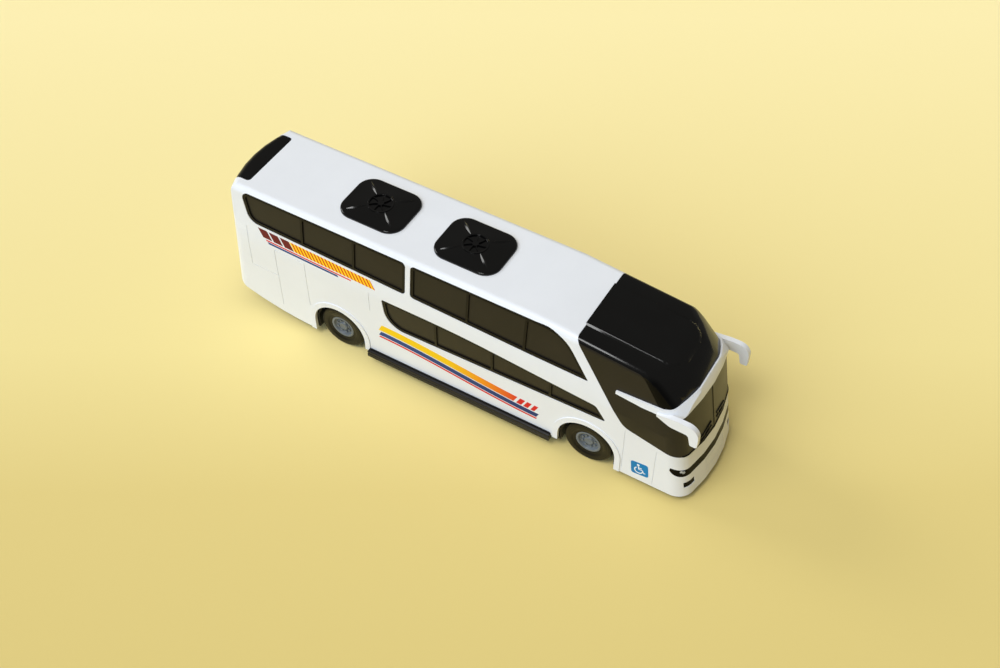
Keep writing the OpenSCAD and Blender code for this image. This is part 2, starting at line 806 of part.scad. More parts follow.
module rear_window_zone(grow) {
    half = rear_window_width / 2 + grow;
    low = rear_window_sill - grow;
    front = tail_x(roof_height) + rear_window_reach + grow;
    intersection() {
        along_x(-half_length - over, front)
            polygon(rectangle(-half, low, half, roof_height + body_width, rear_window_radius));
        translate([0, 0, low - over])
            linear_extrude(roof_height)
                polygon(rectangle(-half_length - body_width, -half, front, half, rear_window_radius));
    }
}

module fog_zone(side, grow) {
    along_y(side * (fog_inner + fog_length / 2) - fog_length / 2 - grow,
        side * (fog_inner + fog_length / 2) + fog_length / 2 + grow)
        translate([half_length / 2, fog_low - grow])
            square([half_length, fog_tall + 2 * grow]);
}

module lamp_recesses() {
    difference() {
        union() {
            across()
                intersection() {
                    polygon(strip_side);
                    translate([half_length / 2, 0])
                        square([half_length, roof_height]);
                }
            for (side = [right, left])
                fog_zone(side, 0);
        }
        front_form(lamp_depth);
    }
}

module body_shell() {
    color("white")
        difference() {
            union() {
                intersection() {
                    skin(0, wall);
                    across()
                        polygon(skirt);
                }
                arch_lips();
                posts();
            }
            across()
                at_wheels()
                    arch_outline(arch_radius);
            for (side = [right, left])
                one_side(side) {
                    polygon(upper_rear_outline);
                    polygon(upper_front_outline);
                    polygon(lower_outline);
                }
            across()
                polygon(front_opening);
            rear_window_zone(0);
            lamp_recesses();
            surface_lines();
            hatch_pegs(fit, roof_height + over);
        }
}

// Front

module front_cap() {
    color([0.06, 0.055, 0.05])
        intersection() {
            union() {
                front_skin(0, wall);
                intersection() {
                    front_skin(-cap_panel_rise, wall / 2);
                    linear_extrude(roof_height + over)
                        polygon(cap_panel);
                }
            }
            across()
                offset(delta = -fit)
                    intersection() {
                        polygon(cap_side);
                        polygon(front_opening);
                    }
        }
}

module windscreen() {
    color([0.24, 0.2, 0.15]) {
        intersection() {
            front_skin(0, wall + flange_depth);
            across()
                offset(delta = -fit)
                    difference() {
                        polygon(front_opening);
                        polygon(cap_side);
                    }
        }
        intersection() {
            front_skin(wall + seat, wall + flange_depth);
            across()
                offset(delta = flange_width)
                    polygon(front_opening);
        }
    }
}

// A mirror arm in its own upright plane: forwards from the visor's corner, round the elbow and down
module mirror_arm(side) {
    root = spear_tip;
    elbow = mirror_reach - mirror_elbow_share * mirror_tip;
    y = half_width - mirror_thickness / 4;
    translate([half_length - cap_foot_setback, side * y, visor_low + mirror_rise])
        rotate([90, 0, side * mirror_splay])
            linear_extrude(mirror_thickness, center = true)
                polygon(rounded([
                    [0, -root, 0],
                    [0, -2 * root, 0],
                    [mirror_reach / 3, -mirror_height, mirror_height],
                    [elbow, -mirror_height, mirror_tip / 2],
                    [mirror_reach - mirror_tip, -mirror_drop, mirror_tip / 4],
                    [mirror_reach, -mirror_drop, mirror_tip / 3],
                    [mirror_reach, 0, mirror_height],
                    [mirror_reach / 2, 0, mirror_reach]]));
}

module visor_band() {
    color("white")
        difference() {
            union() {
                intersection() {
                    front_form(-visor_proud);
                    across()
                        polygon(visor_side);
                }
                for (side = [right, left])
                    mirror_arm(side);
            }
            front_form(-seat);
        }
}

module headlight_strip() {
    color([0.05, 0.05, 0.05])
        intersection() {
            front_skin(0, lamp_depth - seat);
            across()
                offset(delta = -fit)
                    polygon(strip_side);
        }
}

module fog_lamp(side) {
    color([0.05, 0.05, 0.05])
        intersection() {
            front_skin(lamp_depth / 4, lamp_depth - seat);
            fog_zone(side, -fit);
        }
}

// Rear window, with a flange behind the wall
module rear_window() {
    color([0.06, 0.055, 0.05]) {
        intersection() {
            skin(frame_sunk, wall + flange_depth);
            rear_window_zone(-fit);
        }
        intersection() {
            skin(wall + seat, wall + flange_depth);
            rear_window_zone(flange_width);
        }
    }
}

// Side windows

module window_frame(outline, mullions, side) {
    color([0.05, 0.045, 0.04])
        intersection() {
            side_skin(frame_sunk, frame_sunk + frame_depth);
            one_side(side)
                difference() {
                    offset(delta = -fit)
                        polygon(outline);
                    difference() {
                        offset(delta = -frame_border)
                            polygon(outline);
                        for (x = mullions)
                            translate([x - mullion_width / 2, 0])
                                square([mullion_width, roof_height]);
                    }
                }
        }
}

module window_glazing(outline, side) {
    color([0.24, 0.2, 0.15]) {
        intersection() {
            side_skin(frame_sunk + frame_depth + seat, wall + flange_depth);
            one_side(side)
                offset(delta = -fit)
                    polygon(outline);
        }
        intersection() {
            side_skin(wall + seat, wall + flange_depth);
            one_side(side)
                offset(delta = flange_width)
                    polygon(outline);
        }
    }
}

// Roof hatches

module hatch_pegs(grow, height) {
    for (x = hatch_places)
        for (dx = [-peg_spacing / 2, peg_spacing / 2])
            translate([x + dx, 0, roof_height - wall - grow])
                cylinder(h = height - roof_height + wall + grow, d = peg_diameter + 2 * grow);
}

module hatch_layer(inset, z, thickness) {
    translate([0, 0, roof_height + z])
        linear_extrude(thickness)
            polygon(rectangle(-hatch_length / 2 + inset, -hatch_width / 2 + inset,
                hatch_length / 2 - inset, hatch_width / 2 - inset, hatch_radius - inset));
}

// Ring, hub and curved blades in the middle of a hatch
module hatch_fan() {
    ring = fan_ring;
    translate([0, 0, roof_height + hatch_edge]) {
        rotate_extrude()
            translate([fan_radius - ring, 0])
                square([ring, hatch_rise - hatch_edge + fan_relief]);
        cylinder(h = hatch_rise - hatch_edge + fan_relief * fan_hub_share, r = fan_radius / 4);
        for (k = [0:fan_blades - 1])
            rotate(360 * k / fan_blades)
                linear_extrude(hatch_rise - hatch_edge + fan_relief)
                    polygon([[0, -ring / 2], [fan_radius / 2, 0], [fan_radius - ring / 2, ring * 1.5],
                        [fan_radius - ring / 2, ring * 3], [fan_radius / 2, ring], [0, ring / 2]]);
    }
}

// Spear-shaped ribs that run from the fan towards the corners
module hatch_ribs() {
    corner_reach = norm([hatch_length / 2 - hatch_radius, hatch_width / 2 - hatch_radius]);
    reach = corner_reach + hatch_radius * rib_reach_share;
    rib = hatch_radius / 5;
    direction = atan2(hatch_width, hatch_length);
    for (angle = [direction, 180 - direction, 180 + direction, -direction])
        translate([0, 0, roof_height + hatch_edge])
            rotate(angle)
                linear_extrude(hatch_rise - hatch_edge + fan_relief / 2)
                    polygon([[fan_radius - fan_ring / 2, 0], [(fan_radius + reach) / 2, -rib / 2], [reach, 0],
                        [(fan_radius + reach) / 2, rib / 2]]);
}

module roof_hatch(place) {
    color([0.05, 0.05, 0.05]) {
        translate([hatch_places[place], 0, 0]) {
            hull() {
                hatch_layer(0, 0, hatch_rise / 4);
                hatch_layer(hatch_slope_inset, 0, hatch_edge);
                translate([0, 0, roof_height])
                    cylinder(h = hatch_rise, r = fan_radius + fan_ring, $fn = 32);
            }
            hatch_fan();
            hatch_ribs();
        }
        intersection() {
            hatch_pegs(0, roof_height + hatch_edge / 2);
            translate([hatch_places[place], 0, roof_height])
                cube([hatch_length, hatch_width, hatch_length], center = true);
        }
    }
}

// Base

module floor_plate() {
    intersection() {
        across()
            polygon(concat(floor_line,
                [for (k = [len(floor_line) - 1:-1:0]) floor_line[k] + [0, floor_thickness]]));
        coach(wall + base_gap);
    }
}

// Ribbed sill on the right side of the base: it runs out under the body's edge and up its side
module side_sill() {
    inner_y = half_width + base_gap;
    outer_y = half_width + sill_proud;
    g = sill_groove;
    mid = (sill_top + sill_bottom) / 2;
    intersection() {
        along_x(sill_start, sill_end)
            polygon([[-house_y + wall, floor_top], [-house_y + wall, floor_height], [-inner_y, sill_bottom],
                [-outer_y, sill_bottom], [-outer_y, mid - g], [-outer_y + g, mid - g / 2],
                [-outer_y + g, mid + g / 2], [-outer_y, mid + g], [-outer_y, sill_top - 2 * g],
                [-outer_y + g, sill_top - g], [-inner_y - 2 * g, sill_top - g / 2],
                [-inner_y - 2 * g, sill_top - 1.5 * g], [-inner_y - g, sill_top - 1.5 * g],
                [-inner_y - g, sill_top], [-inner_y, sill_top], [-inner_y, floor_top]]);
        across()
            polygon(rectangle(sill_start, sill_bottom - over, sill_end, sill_top, sill_proud / 2));
    }
}

module wheel_houses() {
    for (side = [right, left]) {
        along_y(side == left ? web_y : -house_y, side == left ? house_y : -web_y)
            intersection() {
                at_wheels()
                    difference() {
                        arch_outline(house_radius + house_wall);
                        arch_outline(house_radius);
                    }
                translate([-body_length, floor_height])
                    square([2 * body_length, roof_height]);
            }
        along_y(side == left ? web_y : -web_y - web_thickness, side == left ? web_y + web_thickness : -web_y)
            intersection() {
                at_wheels()
                    arch_outline(house_radius + house_wall);
                translate([-body_length, floor_height])
                    square([2 * body_length, roof_height]);
            }
    }
}

module base() {
    color([0.2, 0.19, 0.18])
        difference() {
            union() {
                difference() {
                    floor_plate();
                    for (side = [right, left])
                        along_y(side == left ? web_y : -body_width, side == left ? body_width : -web_y)
                            at_wheels()
                                arch_outline(house_radius);
                }
                side_sill();
                mirror([0, 1, 0])
                    side_sill();
                wheel_houses();
            }
            for (x = [rear_axle_x, front_axle_x])
                translate([x, -body_width, axle_z])
                    rotate([-90, 0, 0])
                        cylinder(h = 2 * body_width, d = axle_diameter + 2 * running);
            for (p = post_places)
                translate([p[0], p[1], floor_height + floor_lift(p[0]) - over]) {
                    cylinder(h = over + screw_head_rise, r = screw_head_radius + fit);
                    cylinder(h = 2 * over, d = screw_diameter + 2 * fit);
                }
        }
}

module base_screws() {
    color("silver")
        for (p = post_places)
            translate([p[0], p[1], floor_height + floor_lift(p[0])]) {
                cylinder(h = screw_head_rise, r = screw_head_radius);
                cylinder(h = screw_length, d = screw_diameter);
            }
}

// Wheels

module at_wheel(x, side) {
    translate([x, side * wheel_y, axle_z])
        rotate([-90 * side, 0, 0])
            children();
}

module axle(x) {
    color("silver")
        translate([x, -axle_half, axle_z])
            rotate([-90, 0, 0])
                cylinder(h = 2 * axle_half, d = axle_diameter);
}

module tyre(x, side) {
    r = axle_z;
    half = tyre_width / 2;
    round_edge = r * tread_round_share;
    groove = r * tread_groove_share;
    step = r * wall_step_share;
    color([0.14, 0.13, 0.12])
        at_wheel(x, side)
            difference() {
                rotate_extrude()
                    polygon(rounded([
                        [hub_radius + fit, -half + step, 0],
                        [hub_radius + 2 * step, -half + step, step / 2],
                        [hub_radius + 3 * step, -half, step / 2],
                        [r, -half, round_edge],
                        [r, half, round_edge],
                        [hub_radius + 3 * step, half, step / 2],
                        [hub_radius + 2 * step, half - step, step / 2],
                        [hub_radius + fit, half - step, 0]]));
                for (z = [-half / 3, half / 3])
                    translate([0, 0, z - groove / 2])
                        rotate_extrude()
                            translate([r - groove, 0])
                                square([over, groove]);
            }
}

module hub(x, side) {
    r = hub_radius;
    back = -tyre_width / 2 + wall_step_share * axle_z;
    color([0.5, 0.54, 0.58])
        at_wheel(x, side) {
            difference() {
                rotate_extrude()
                    polygon(rounded([
                        [0, back, 0],
                        [r, back, 0],
                        [r, hub_face, 0],
                        [r * rim_share, hub_face, dish_depth / 4],
                        [r * rim_share - dish_depth / 2, hub_face - dish_depth, dish_depth / 4],
                        [r * boss_share + dish_depth / 3, hub_face - dish_depth, dish_depth / 8],
                        [r * boss_share, hub_face - dish_depth / 4, dish_depth / 4],
                        [0, hub_face - dish_depth / 4, 0]]));
                translate([0, 0, -tyre_width])
                    cylinder(h = tyre_width + hub_face - dish_depth, r = axle_radius + seat / 2);
            }
            for (k = [0:nut_count - 1])
                rotate(360 * k / nut_count)
                    translate([r * nut_circle_share, 0, hub_face - 1.5 * dish_depth])
                        cylinder(h = dish_depth * nut_rise_share, r = r * nut_share, $fn = 16);
        }
}

body_shell();
front_cap();
windscreen();
visor_band();
headlight_strip();
fog_lamp(right);  // fog_lamp_right
fog_lamp(left);  // fog_lamp_left
rear_window();
roof_hatch(0);  // roof_hatch_rear
roof_hatch(1);  // roof_hatch_front
window_frame(upper_rear_outline, upper_rear_mullions, right);  // upper_rear_frame_right
window_glazing(upper_rear_outline, right);  // upper_rear_glazing_right
window_frame(upper_front_outline, upper_front_mullions, right);  // upper_front_frame_right
window_glazing(upper_front_outline, right);  // upper_front_glazing_right
window_frame(lower_outline, lower_mullions, right);  // lower_frame_right
window_glazing(lower_outline, right);  // lower_glazing_right
window_frame(upper_rear_outline, upper_rear_mullions, left);  // upper_rear_frame_left
window_glazing(upper_rear_outline, left);  // upper_rear_glazing_left
window_frame(upper_front_outline, upper_front_mullions, left);  // upper_front_frame_left
window_glazing(upper_front_outline, left);  // upper_front_glazing_left
window_frame(lower_outline, lower_mullions, left);  // lower_frame_left
window_glazing(lower_outline, left);  // lower_glazing_left
base();
base_screws();
axle(front_axle_x);  // front_axle
hub(front_axle_x, right);  // front_hub_right
hub(front_axle_x, left);  // front_hub_left
tyre(front_axle_x, right);  // front_tyre_right
tyre(front_axle_x, left);  // front_tyre_left
axle(rear_axle_x);  // rear_axle
hub(rear_axle_x, right);  // rear_hub_right
hub(rear_axle_x, left);  // rear_hub_left
tyre(rear_axle_x, right);  // rear_tyre_right
tyre(rear_axle_x, left);  // rear_tyre_left
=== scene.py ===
import math

import bpy
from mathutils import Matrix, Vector


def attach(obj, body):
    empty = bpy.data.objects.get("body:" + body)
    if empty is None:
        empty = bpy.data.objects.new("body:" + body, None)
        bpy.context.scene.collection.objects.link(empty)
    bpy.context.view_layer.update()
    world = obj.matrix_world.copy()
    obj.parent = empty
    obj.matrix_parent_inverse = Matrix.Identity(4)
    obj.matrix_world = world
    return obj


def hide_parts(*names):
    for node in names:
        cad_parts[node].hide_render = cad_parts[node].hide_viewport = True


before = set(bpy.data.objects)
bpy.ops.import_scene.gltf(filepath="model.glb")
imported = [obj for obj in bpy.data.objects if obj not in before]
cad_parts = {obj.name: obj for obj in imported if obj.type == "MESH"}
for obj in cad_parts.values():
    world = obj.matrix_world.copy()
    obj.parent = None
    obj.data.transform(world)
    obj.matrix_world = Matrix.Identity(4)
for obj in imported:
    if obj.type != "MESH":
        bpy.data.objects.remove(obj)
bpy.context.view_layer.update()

# Sizes are in metres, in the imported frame: +X is the front, +Y the left side and the ground is z = 0.
# Profiles and tables of places are in millimetres, as their comments say.
MM = 0.001
HALF_WIDTH = 43.5 * MM
SIDE_SIGN = {"right": -1, "left": 1}
# Points nearer than this are one point
MERGE = 0.002 * MM
# Edges up to this angle, in degrees, are shaded smoothly
SMOOTH_ANGLE = 40
# How much of a face's normal lies along a heading when the face looks that way
FACING = 0.9


# Small helpers

def only(piece):
    """Selects one object and makes it the active one."""
    bpy.ops.object.select_all(action="DESELECT")
    piece.select_set(True)
    bpy.context.view_layer.objects.active = piece


def added(primitive, **settings):
    """Adds a primitive with nothing else selected, at the origin unless a place is given."""
    bpy.ops.object.select_all(action="DESELECT")
    settings.setdefault("location", (0, 0, 0))
    primitive(**settings)
    return bpy.context.object


def apply_all(piece):
    """Applies every modifier of a piece, in order."""
    only(piece)
    for name in [modifier.name for modifier in piece.modifiers]:
        bpy.ops.object.modifier_apply(modifier=name)


def face_outwards(piece, merge=None):
    """Turns a piece's faces outwards, after its doubles are merged where a distance is given."""
    only(piece)
    bpy.ops.object.mode_set(mode="EDIT")
    bpy.ops.mesh.select_all(action="SELECT")
    if merge:
        bpy.ops.mesh.remove_doubles(threshold=merge)
    bpy.ops.mesh.normals_make_consistent(inside=False)
    bpy.ops.mesh.select_mode(type="VERT")
    bpy.ops.object.mode_set(mode="OBJECT")


def step_face(piece, heading, steps):
    """Steps the face that looks along heading: each step insets it and then moves it outwards or inwards."""
    for face in piece.data.polygons:
        face.select = face.normal.dot(heading) > FACING
    bpy.ops.object.mode_set(mode="EDIT")
    bpy.ops.mesh.select_mode(type="FACE")
    for inset, rise in steps:
        bpy.ops.mesh.inset(thickness=inset, depth=0)
        bpy.ops.transform.translate(value=heading * rise)
    bpy.ops.mesh.select_mode(type="VERT")
    bpy.ops.object.mode_set(mode="OBJECT")


def smooth(piece, angle=SMOOTH_ANGLE):
    """Shades a piece smoothly over edges up to an angle in degrees."""
    only(piece)
    bpy.ops.object.shade_smooth_by_angle(angle=math.radians(angle))


def joined(name, parts, angle=SMOOTH_ANGLE):
    """Joins parts into the first one, names it, turns its faces outwards and shades it smoothly."""
    only(parts[0])
    for part in parts[1:]:
        part.select_set(True)
    bpy.ops.object.join()
    parts[0].name = name
    face_outwards(parts[0])
    smooth(parts[0], angle)
    return parts[0]


def give(piece, finish):
    """Gives a piece one finish."""
    piece.data.materials.clear()
    piece.data.materials.append(finish)


def place(piece, body, slot, *nodes):
    """Puts a finished piece on its body and hides the nodes that it stands for."""
    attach(piece, body)
    if nodes:
        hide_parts(*nodes)


# Finishes

def linear(red, green, blue):
    """A display colour, 0 to 255, as the shader's linear colour."""
    def one(value):
        share = value / 255
        return share / 12.92 if share <= 0.04045 else ((share + 0.055) / 1.055) ** 2.4
    return (one(red), one(green), one(blue), 1.0)


def new_finish(name):
    """An empty finish, with its shader and the piece's own coordinates."""
    finish = bpy.data.materials.new(name)
    finish.use_nodes = True
    return finish, finish.node_tree.nodes["Principled BSDF"], node_of(finish, "ShaderNodeTexCoord")


def node_of(finish, kind, sockets=None, **settings):
    """Adds a shader node with its settings and the values of its sockets."""
    node = finish.node_tree.nodes.new(kind)
    for key, value in settings.items():
        setattr(node, key, value)
    for socket, value in (sockets or {}).items():
        node.inputs[socket].default_value = value
    return node


def link(finish, out_node, out_name, in_node, in_name):
    """Joins the output of one shader node to the input of another."""
    finish.node_tree.links.new(out_node.outputs[out_name], in_node.inputs[in_name])


def noise(finish, where, scale, detail):
    """A noise pattern that is fixed to the piece."""
    pattern = node_of(finish, "ShaderNodeTexNoise", {"Scale": scale, "Detail": detail})
    link(finish, where, "Object", pattern, "Vector")
    return pattern


def ranged(finish, source, output, start, end, low=0.0, high=1.0):
    """Maps the range from start to end of a node's output to the range from low to high."""
    sockets = {"From Min": start, "From Max": end, "To Min": low, "To Max": high}
    mapped = node_of(finish, "ShaderNodeMapRange", sockets)
    link(finish, source, output, mapped, "Value")
    return mapped


def colour_ramp(finish, stops):
    """A ramp of display colours, from stops of a position and a colour."""
    ramp = node_of(finish, "ShaderNodeValToRGB")
    elements = ramp.color_ramp.elements
    for element, (position, colour) in ((elements[0], stops[0]), (elements[1], stops[-1])):
        element.position = position
        element.color = linear(*colour)
    for position, colour in stops[1:-1]:
        elements.new(position).color = linear(*colour)
    return ramp


# Where most values of a noise pattern lie, the detail of its coarse and fine patterns, the depth of the moulded
# grain, and how much finer than the colour's patches the patches of gloss are
NOISE_LOW = 0.3
NOISE_HIGH = 0.7
COARSE_DETAIL = 4.0
FINE_DETAIL = 1.0
GRAIN_DEPTH = 0.05 * MM
GLOSS_PATCH_RATIO = 1.5


def plastic(name, colour, shade, roughness, spread, grain, gleam=0.5, metal=0.0, coat=0.0, patch=35.0, pore=700.0):
    """A moulded plastic: a colour that drifts a little, uneven gloss and a fine moulded grain."""
    finish, shader, where = new_finish(name)
    shader.inputs["Specular IOR Level"].default_value = gleam
    shader.inputs["Metallic"].default_value = metal
    shader.inputs["Coat Weight"].default_value = coat
    drift = noise(finish, where, patch, COARSE_DETAIL)
    tint = colour_ramp(finish, [(NOISE_LOW, shade), (NOISE_HIGH, colour)])
    link(finish, drift, "Fac", tint, "Fac")
    link(finish, tint, "Color", shader, "Base Color")
    smear = noise(finish, where, patch * GLOSS_PATCH_RATIO, FINE_DETAIL)
    gloss = ranged(finish, smear, "Fac", NOISE_LOW, NOISE_HIGH, roughness - spread, roughness + spread)
    link(finish, gloss, "Result", shader, "Roughness")
    skin = noise(finish, where, pore, FINE_DETAIL)
    relief = node_of(finish, "ShaderNodeBump", {"Strength": grain, "Distance": GRAIN_DEPTH})
    link(finish, skin, "Fac", relief, "Height")
    link(finish, relief, "Normal", shader, "Normal")
    return finish


# The cap's cheeks: where they begin and are full, from the middle outwards and from the roof downwards
CHEEK_OUT = (34 * MM, 37 * MM)
CHEEK_DOWN = (121 * MM, 117 * MM)
BLACK_GLEAM = 0.42
CHEEK_GLEAM = 0.1


def dull_cheeks(finish):
    """Lowers the gloss on the cap's upright cheeks, beside the windscreen's top corners."""
    split = node_of(finish, "ShaderNodeSeparateXYZ")
    link(finish, node_of(finish, "ShaderNodeTexCoord"), "Object", split, "Vector")
    side = node_of(finish, "ShaderNodeMath", operation="ABSOLUTE")
    link(finish, split, "Y", side, 0)
    cheek = node_of(finish, "ShaderNodeMath", operation="MULTIPLY")
    link(finish, ranged(finish, side, "Value", *CHEEK_OUT), "Result", cheek, 0)
    link(finish, ranged(finish, split, "Z", *CHEEK_DOWN), "Result", cheek, 1)
    gleam = ranged(finish, cheek, "Value", 0.0, 1.0, BLACK_GLEAM, CHEEK_GLEAM)
    link(finish, gleam, "Result", finish.node_tree.nodes["Principled BSDF"], "Specular IOR Level")


white_moulding = plastic("white_moulding", (233, 234, 235), (230, 231, 232), roughness=0.3, spread=0.015, grain=0.02)
gloss_black = plastic("gloss_black", (9, 9, 9), (6, 6, 6), roughness=0.13, spread=0.04, grain=0.02, gleam=BLACK_GLEAM)
cap_black = plastic("cap_black", (9, 9, 9), (6, 6, 6), roughness=0.13, spread=0.04, grain=0.02)
dull_cheeks(cap_black)
satin_black = plastic("satin_black", (15, 14, 13), (11, 10, 10), roughness=0.3, spread=0.05, grain=0.03, gleam=0.22)
lamp_black = plastic("lamp_black", (8, 7, 6), (6, 5, 5), roughness=0.3, spread=0.05, grain=0.03, gleam=0.05)
smoked_glazing = plastic("smoked_glazing", (35, 31, 26), (31, 28, 23), roughness=0.3, spread=0.02, grain=0.012,
                         gleam=0.25)
base_grey = plastic("base_grey", (26, 24, 22), (21, 20, 19), roughness=0.34, spread=0.06, grain=0.15, gleam=0.3,
                    pore=900.0)
tyre_rubber = plastic("tyre_rubber", (11, 10, 10), (8, 8, 8), roughness=0.42, spread=0.08, grain=0.3, gleam=0.3,
                      pore=900.0)
hub_grey = plastic("hub_grey", (108, 114, 118), (94, 100, 104), roughness=0.34, spread=0.06, grain=0.1)
steel = plastic("steel", (176, 176, 174), (160, 160, 160), roughness=0.28, spread=0.08, grain=0.1, metal=1.0)
lens_grey = plastic("lens_grey", (188, 192, 194), (150, 154, 158), roughness=0.12, spread=0.04, grain=0.02, coat=0.6,
                    patch=400.0)


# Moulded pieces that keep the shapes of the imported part

# How far the edges of each kind of moulding are rounded
BODY_EDGE = 0.45 * MM
CAP_EDGE = 0.4 * MM
VISOR_EDGE = 1.0 * MM
FRAME_EDGE = 0.25 * MM
GLASS_EDGE = 0.2 * MM
SMALL_EDGE = 0.15 * MM
AXLE_EDGE = 0.1 * MM
# Edges sharper than this, in degrees, are rounded
MOULDING_ANGLE = 32
CAP_ANGLE = 60
# Triangles of one face of the solid, within these angles in degrees, are made quads
FLAT_WITHIN = 1
SQUARE_WITHIN = 40
FLAT_FACE_WEIGHT = 60


def soften(piece, edge, segments, angle, even):
    """Rounds a piece's sharp edges and shades it smoothly, with its flat faces kept even where asked for."""
    smooth(piece, angle)
    bevel = piece.modifiers.new("rounded_edges", "BEVEL")
    bevel.width = edge
    bevel.segments = segments
    bevel.limit_method = "ANGLE"
    bevel.angle_limit = math.radians(angle)
    bevel.use_clamp_overlap = True
    bevel.miter_outer = "MITER_ARC"
    if even:
        normals = piece.modifiers.new("even_shading", "WEIGHTED_NORMAL")
        normals.keep_sharp = True
        normals.weight = FLAT_FACE_WEIGHT
    apply_all(piece)


def moulding(node, name, finish, body, slot, edge, segments=2, angle=MOULDING_ANGLE, reshape=None, even=True):
    """Carries a moulded node over as a piece with softened edges, reshaped first where asked for."""
    piece = bpy.data.objects.new(name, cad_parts[node].data.copy())
    piece.data.name = name
    bpy.context.scene.collection.objects.link(piece)
    only(piece)
    bpy.ops.mesh.customdata_custom_splitnormals_clear()
    bpy.ops.object.mode_set(mode="EDIT")
    bpy.ops.mesh.select_all(action="SELECT")
    bpy.ops.mesh.remove_doubles(threshold=MERGE)
    bpy.ops.mesh.tris_convert_to_quads(face_threshold=math.radians(FLAT_WITHIN),
                                       shape_threshold=math.radians(SQUARE_WITHIN))
    bpy.ops.object.mode_set(mode="OBJECT")
    if reshape:
        reshape(piece)
    give(piece, finish)
    soften(piece, edge, segments, angle, even)
    place(piece, body, slot, node)
    return piece


# The cap's raised panel, seen from above: its front end, half its width and its corner radius
PANEL_END = 180.7 * MM
PANEL_HALF = 23 * MM
PANEL_CORNER = PANEL_HALF * 2 / 3
# How far the panel's edge slopes at its sides, the share by which that grows at its front, how near a point of the
# outline lies to it, and how far inside it the middle of a face of the panel lies
PANEL_SLOPE = 1.3 * MM
FRONT_SLOPE_SHARE = 0.5
ON_OUTLINE = 0.06 * MM
INSIDE_OUTLINE = 0.1 * MM
UPWARD = 0.5


def corner_reach(x, y):
    """How far a point lies past the start of the panel's round front corners, along and across the coach."""
    return max(x - (PANEL_END - PANEL_CORNER), 0.0), max(abs(y) - (PANEL_HALF - PANEL_CORNER), 0.0)


def panel_outward(x, y):
    """Which way the panel's outline faces at a point on it, or None away from the outline."""
    along, across = corner_reach(x, y)
    away = math.hypot(along, across)
    if abs(away - PANEL_CORNER) > ON_OUTLINE:
        return None
    return Vector((along / away, math.copysign(across / away, y), 0))


def slope_panel_edge(piece):
    """Draws the top edge of the cap's panel inwards, so that its step becomes a slope that catches the light."""
    mesh = piece.data
    outline = {}
    for vertex in mesh.vertices:
        outward = panel_outward(vertex.co.x, vertex.co.y)
        if outward is not None:
            outline[vertex.index] = outward
    tops = {}
    for face in mesh.polygons:
        reach = math.hypot(*corner_reach(face.center.x, face.center.y))
        if reach < PANEL_CORNER - INSIDE_OUTLINE and face.normal.z > UPWARD:
            tops.update((index, face.normal.copy()) for index in face.vertices if index in outline)
    for index, normal in tops.items():
        outward = outline[index]
        step = outward * -PANEL_SLOPE * (1 + FRONT_SLOPE_SHARE * abs(outward.x))
        step.z = -(normal.x * step.x + normal.y * step.y) / normal.z
        mesh.vertices[index].co += step
    feet = outline.keys() - tops.keys()
    for edge in mesh.edges:
        ends = set(edge.vertices)
        edge.use_edge_sharp = ends <= feet or ends <= tops.keys()


coach_body = moulding("body_shell", "coach_body", white_moulding, "body", "white_plastic", BODY_EDGE, segments=3)
moulding("front_cap", "cap_cover", cap_black, "body", "black_plastic", CAP_EDGE, segments=3, angle=CAP_ANGLE,
         reshape=slope_panel_edge, even=False)
front_glass = moulding("windscreen", "front_glass", smoked_glazing, "body", "smoked_plastic", GLASS_EDGE)
moulding("visor_band", "visor_trim", white_moulding, "body", "white_plastic", VISOR_EDGE, segments=4)
headlight_bar = moulding("headlight_strip", "headlight_bar", lamp_black, "body", "black_plastic", SMALL_EDGE)
moulding("rear_window", "back_window", satin_black, "body", "black_plastic", FRAME_EDGE)
moulding("base", "chassis_base", base_grey, "body", "base_plastic", GLASS_EDGE)
moulding("base_screws", "chassis_screws", steel, "body", "steel", SMALL_EDGE)
for end in ("rear", "front"):
    moulding(end + "_axle", end + "_axle_rod", steel, end + "_wheelset", "steel", AXLE_EDGE)
for side in SIDE_SIGN:
    moulding("fog_lamp_" + side, "fog_lens_" + side, lamp_black, "body", "black_plastic", SMALL_EDGE)
    for group in ("upper_rear", "upper_front", "lower"):
        moulding(group + "_frame_" + side, group + "_surround_" + side, satin_black, "body", "black_plastic",
                 FRAME_EDGE)
        moulding(group + "_glazing_" + side, group + "_panes_" + side, smoked_glazing, "body", "smoked_plastic",
                 SMALL_EDGE)


# Roof hatches: a pillow-shaped lid with a ring of vanes round a hub, and four spear-shaped ribs

ROOF_Z = 131 * MM
HATCH_X = {"rear": -81.7 * MM, "front": 1.8 * MM}
HATCH_HALF = (27.75 * MM, 23 * MM)
HATCH_CORNER = 13 * MM
HATCH_SMOOTH_ANGLE = 38
FAN_OUTER = 10.25 * MM
FAN_INNER = 8.9 * MM
# The lid: its points round the outline, its foot above the roof, the rings of its edge from the roof upwards (how
# far in from the outline and how high above the roof, in millimetres), and its slope up to just past the fan
LID_POINTS = 96
LID_FOOT = 0.02 * MM
LID_EDGE = [(0.0, 0.9), (0.12, 1.35), (0.5, 1.75), (1.1, 2.0), (2.0, 2.14)]
LID_SLOPE_STEPS = 12
LID_SLOPE_POWER = 1.35
LID_SLOPE_END = FAN_OUTER * 1.02
# Fan rings: radius and height above the roof in millimetres
FAN_RINGS = [(10.25, 3.42), (10.2, 3.85), (10.0, 4.02), (9.2, 4.02), (8.98, 3.88), (8.9, 3.6), (8.88, 2.75)]
# Vanes: pairs hold the values at the hub and at the ring
VANES = 7
VANE_CUTS = 5
VANE_SPAN = (1.6 * MM, FAN_INNER + 0.2 * MM)
VANE_THICKNESS = (0.75 * MM, 0.55 * MM)
VANE_HEIGHT = (1.25 * MM, 1.0 * MM)
VANE_FOOT = 2.7 * MM
VANE_BOW = 1.5 * MM
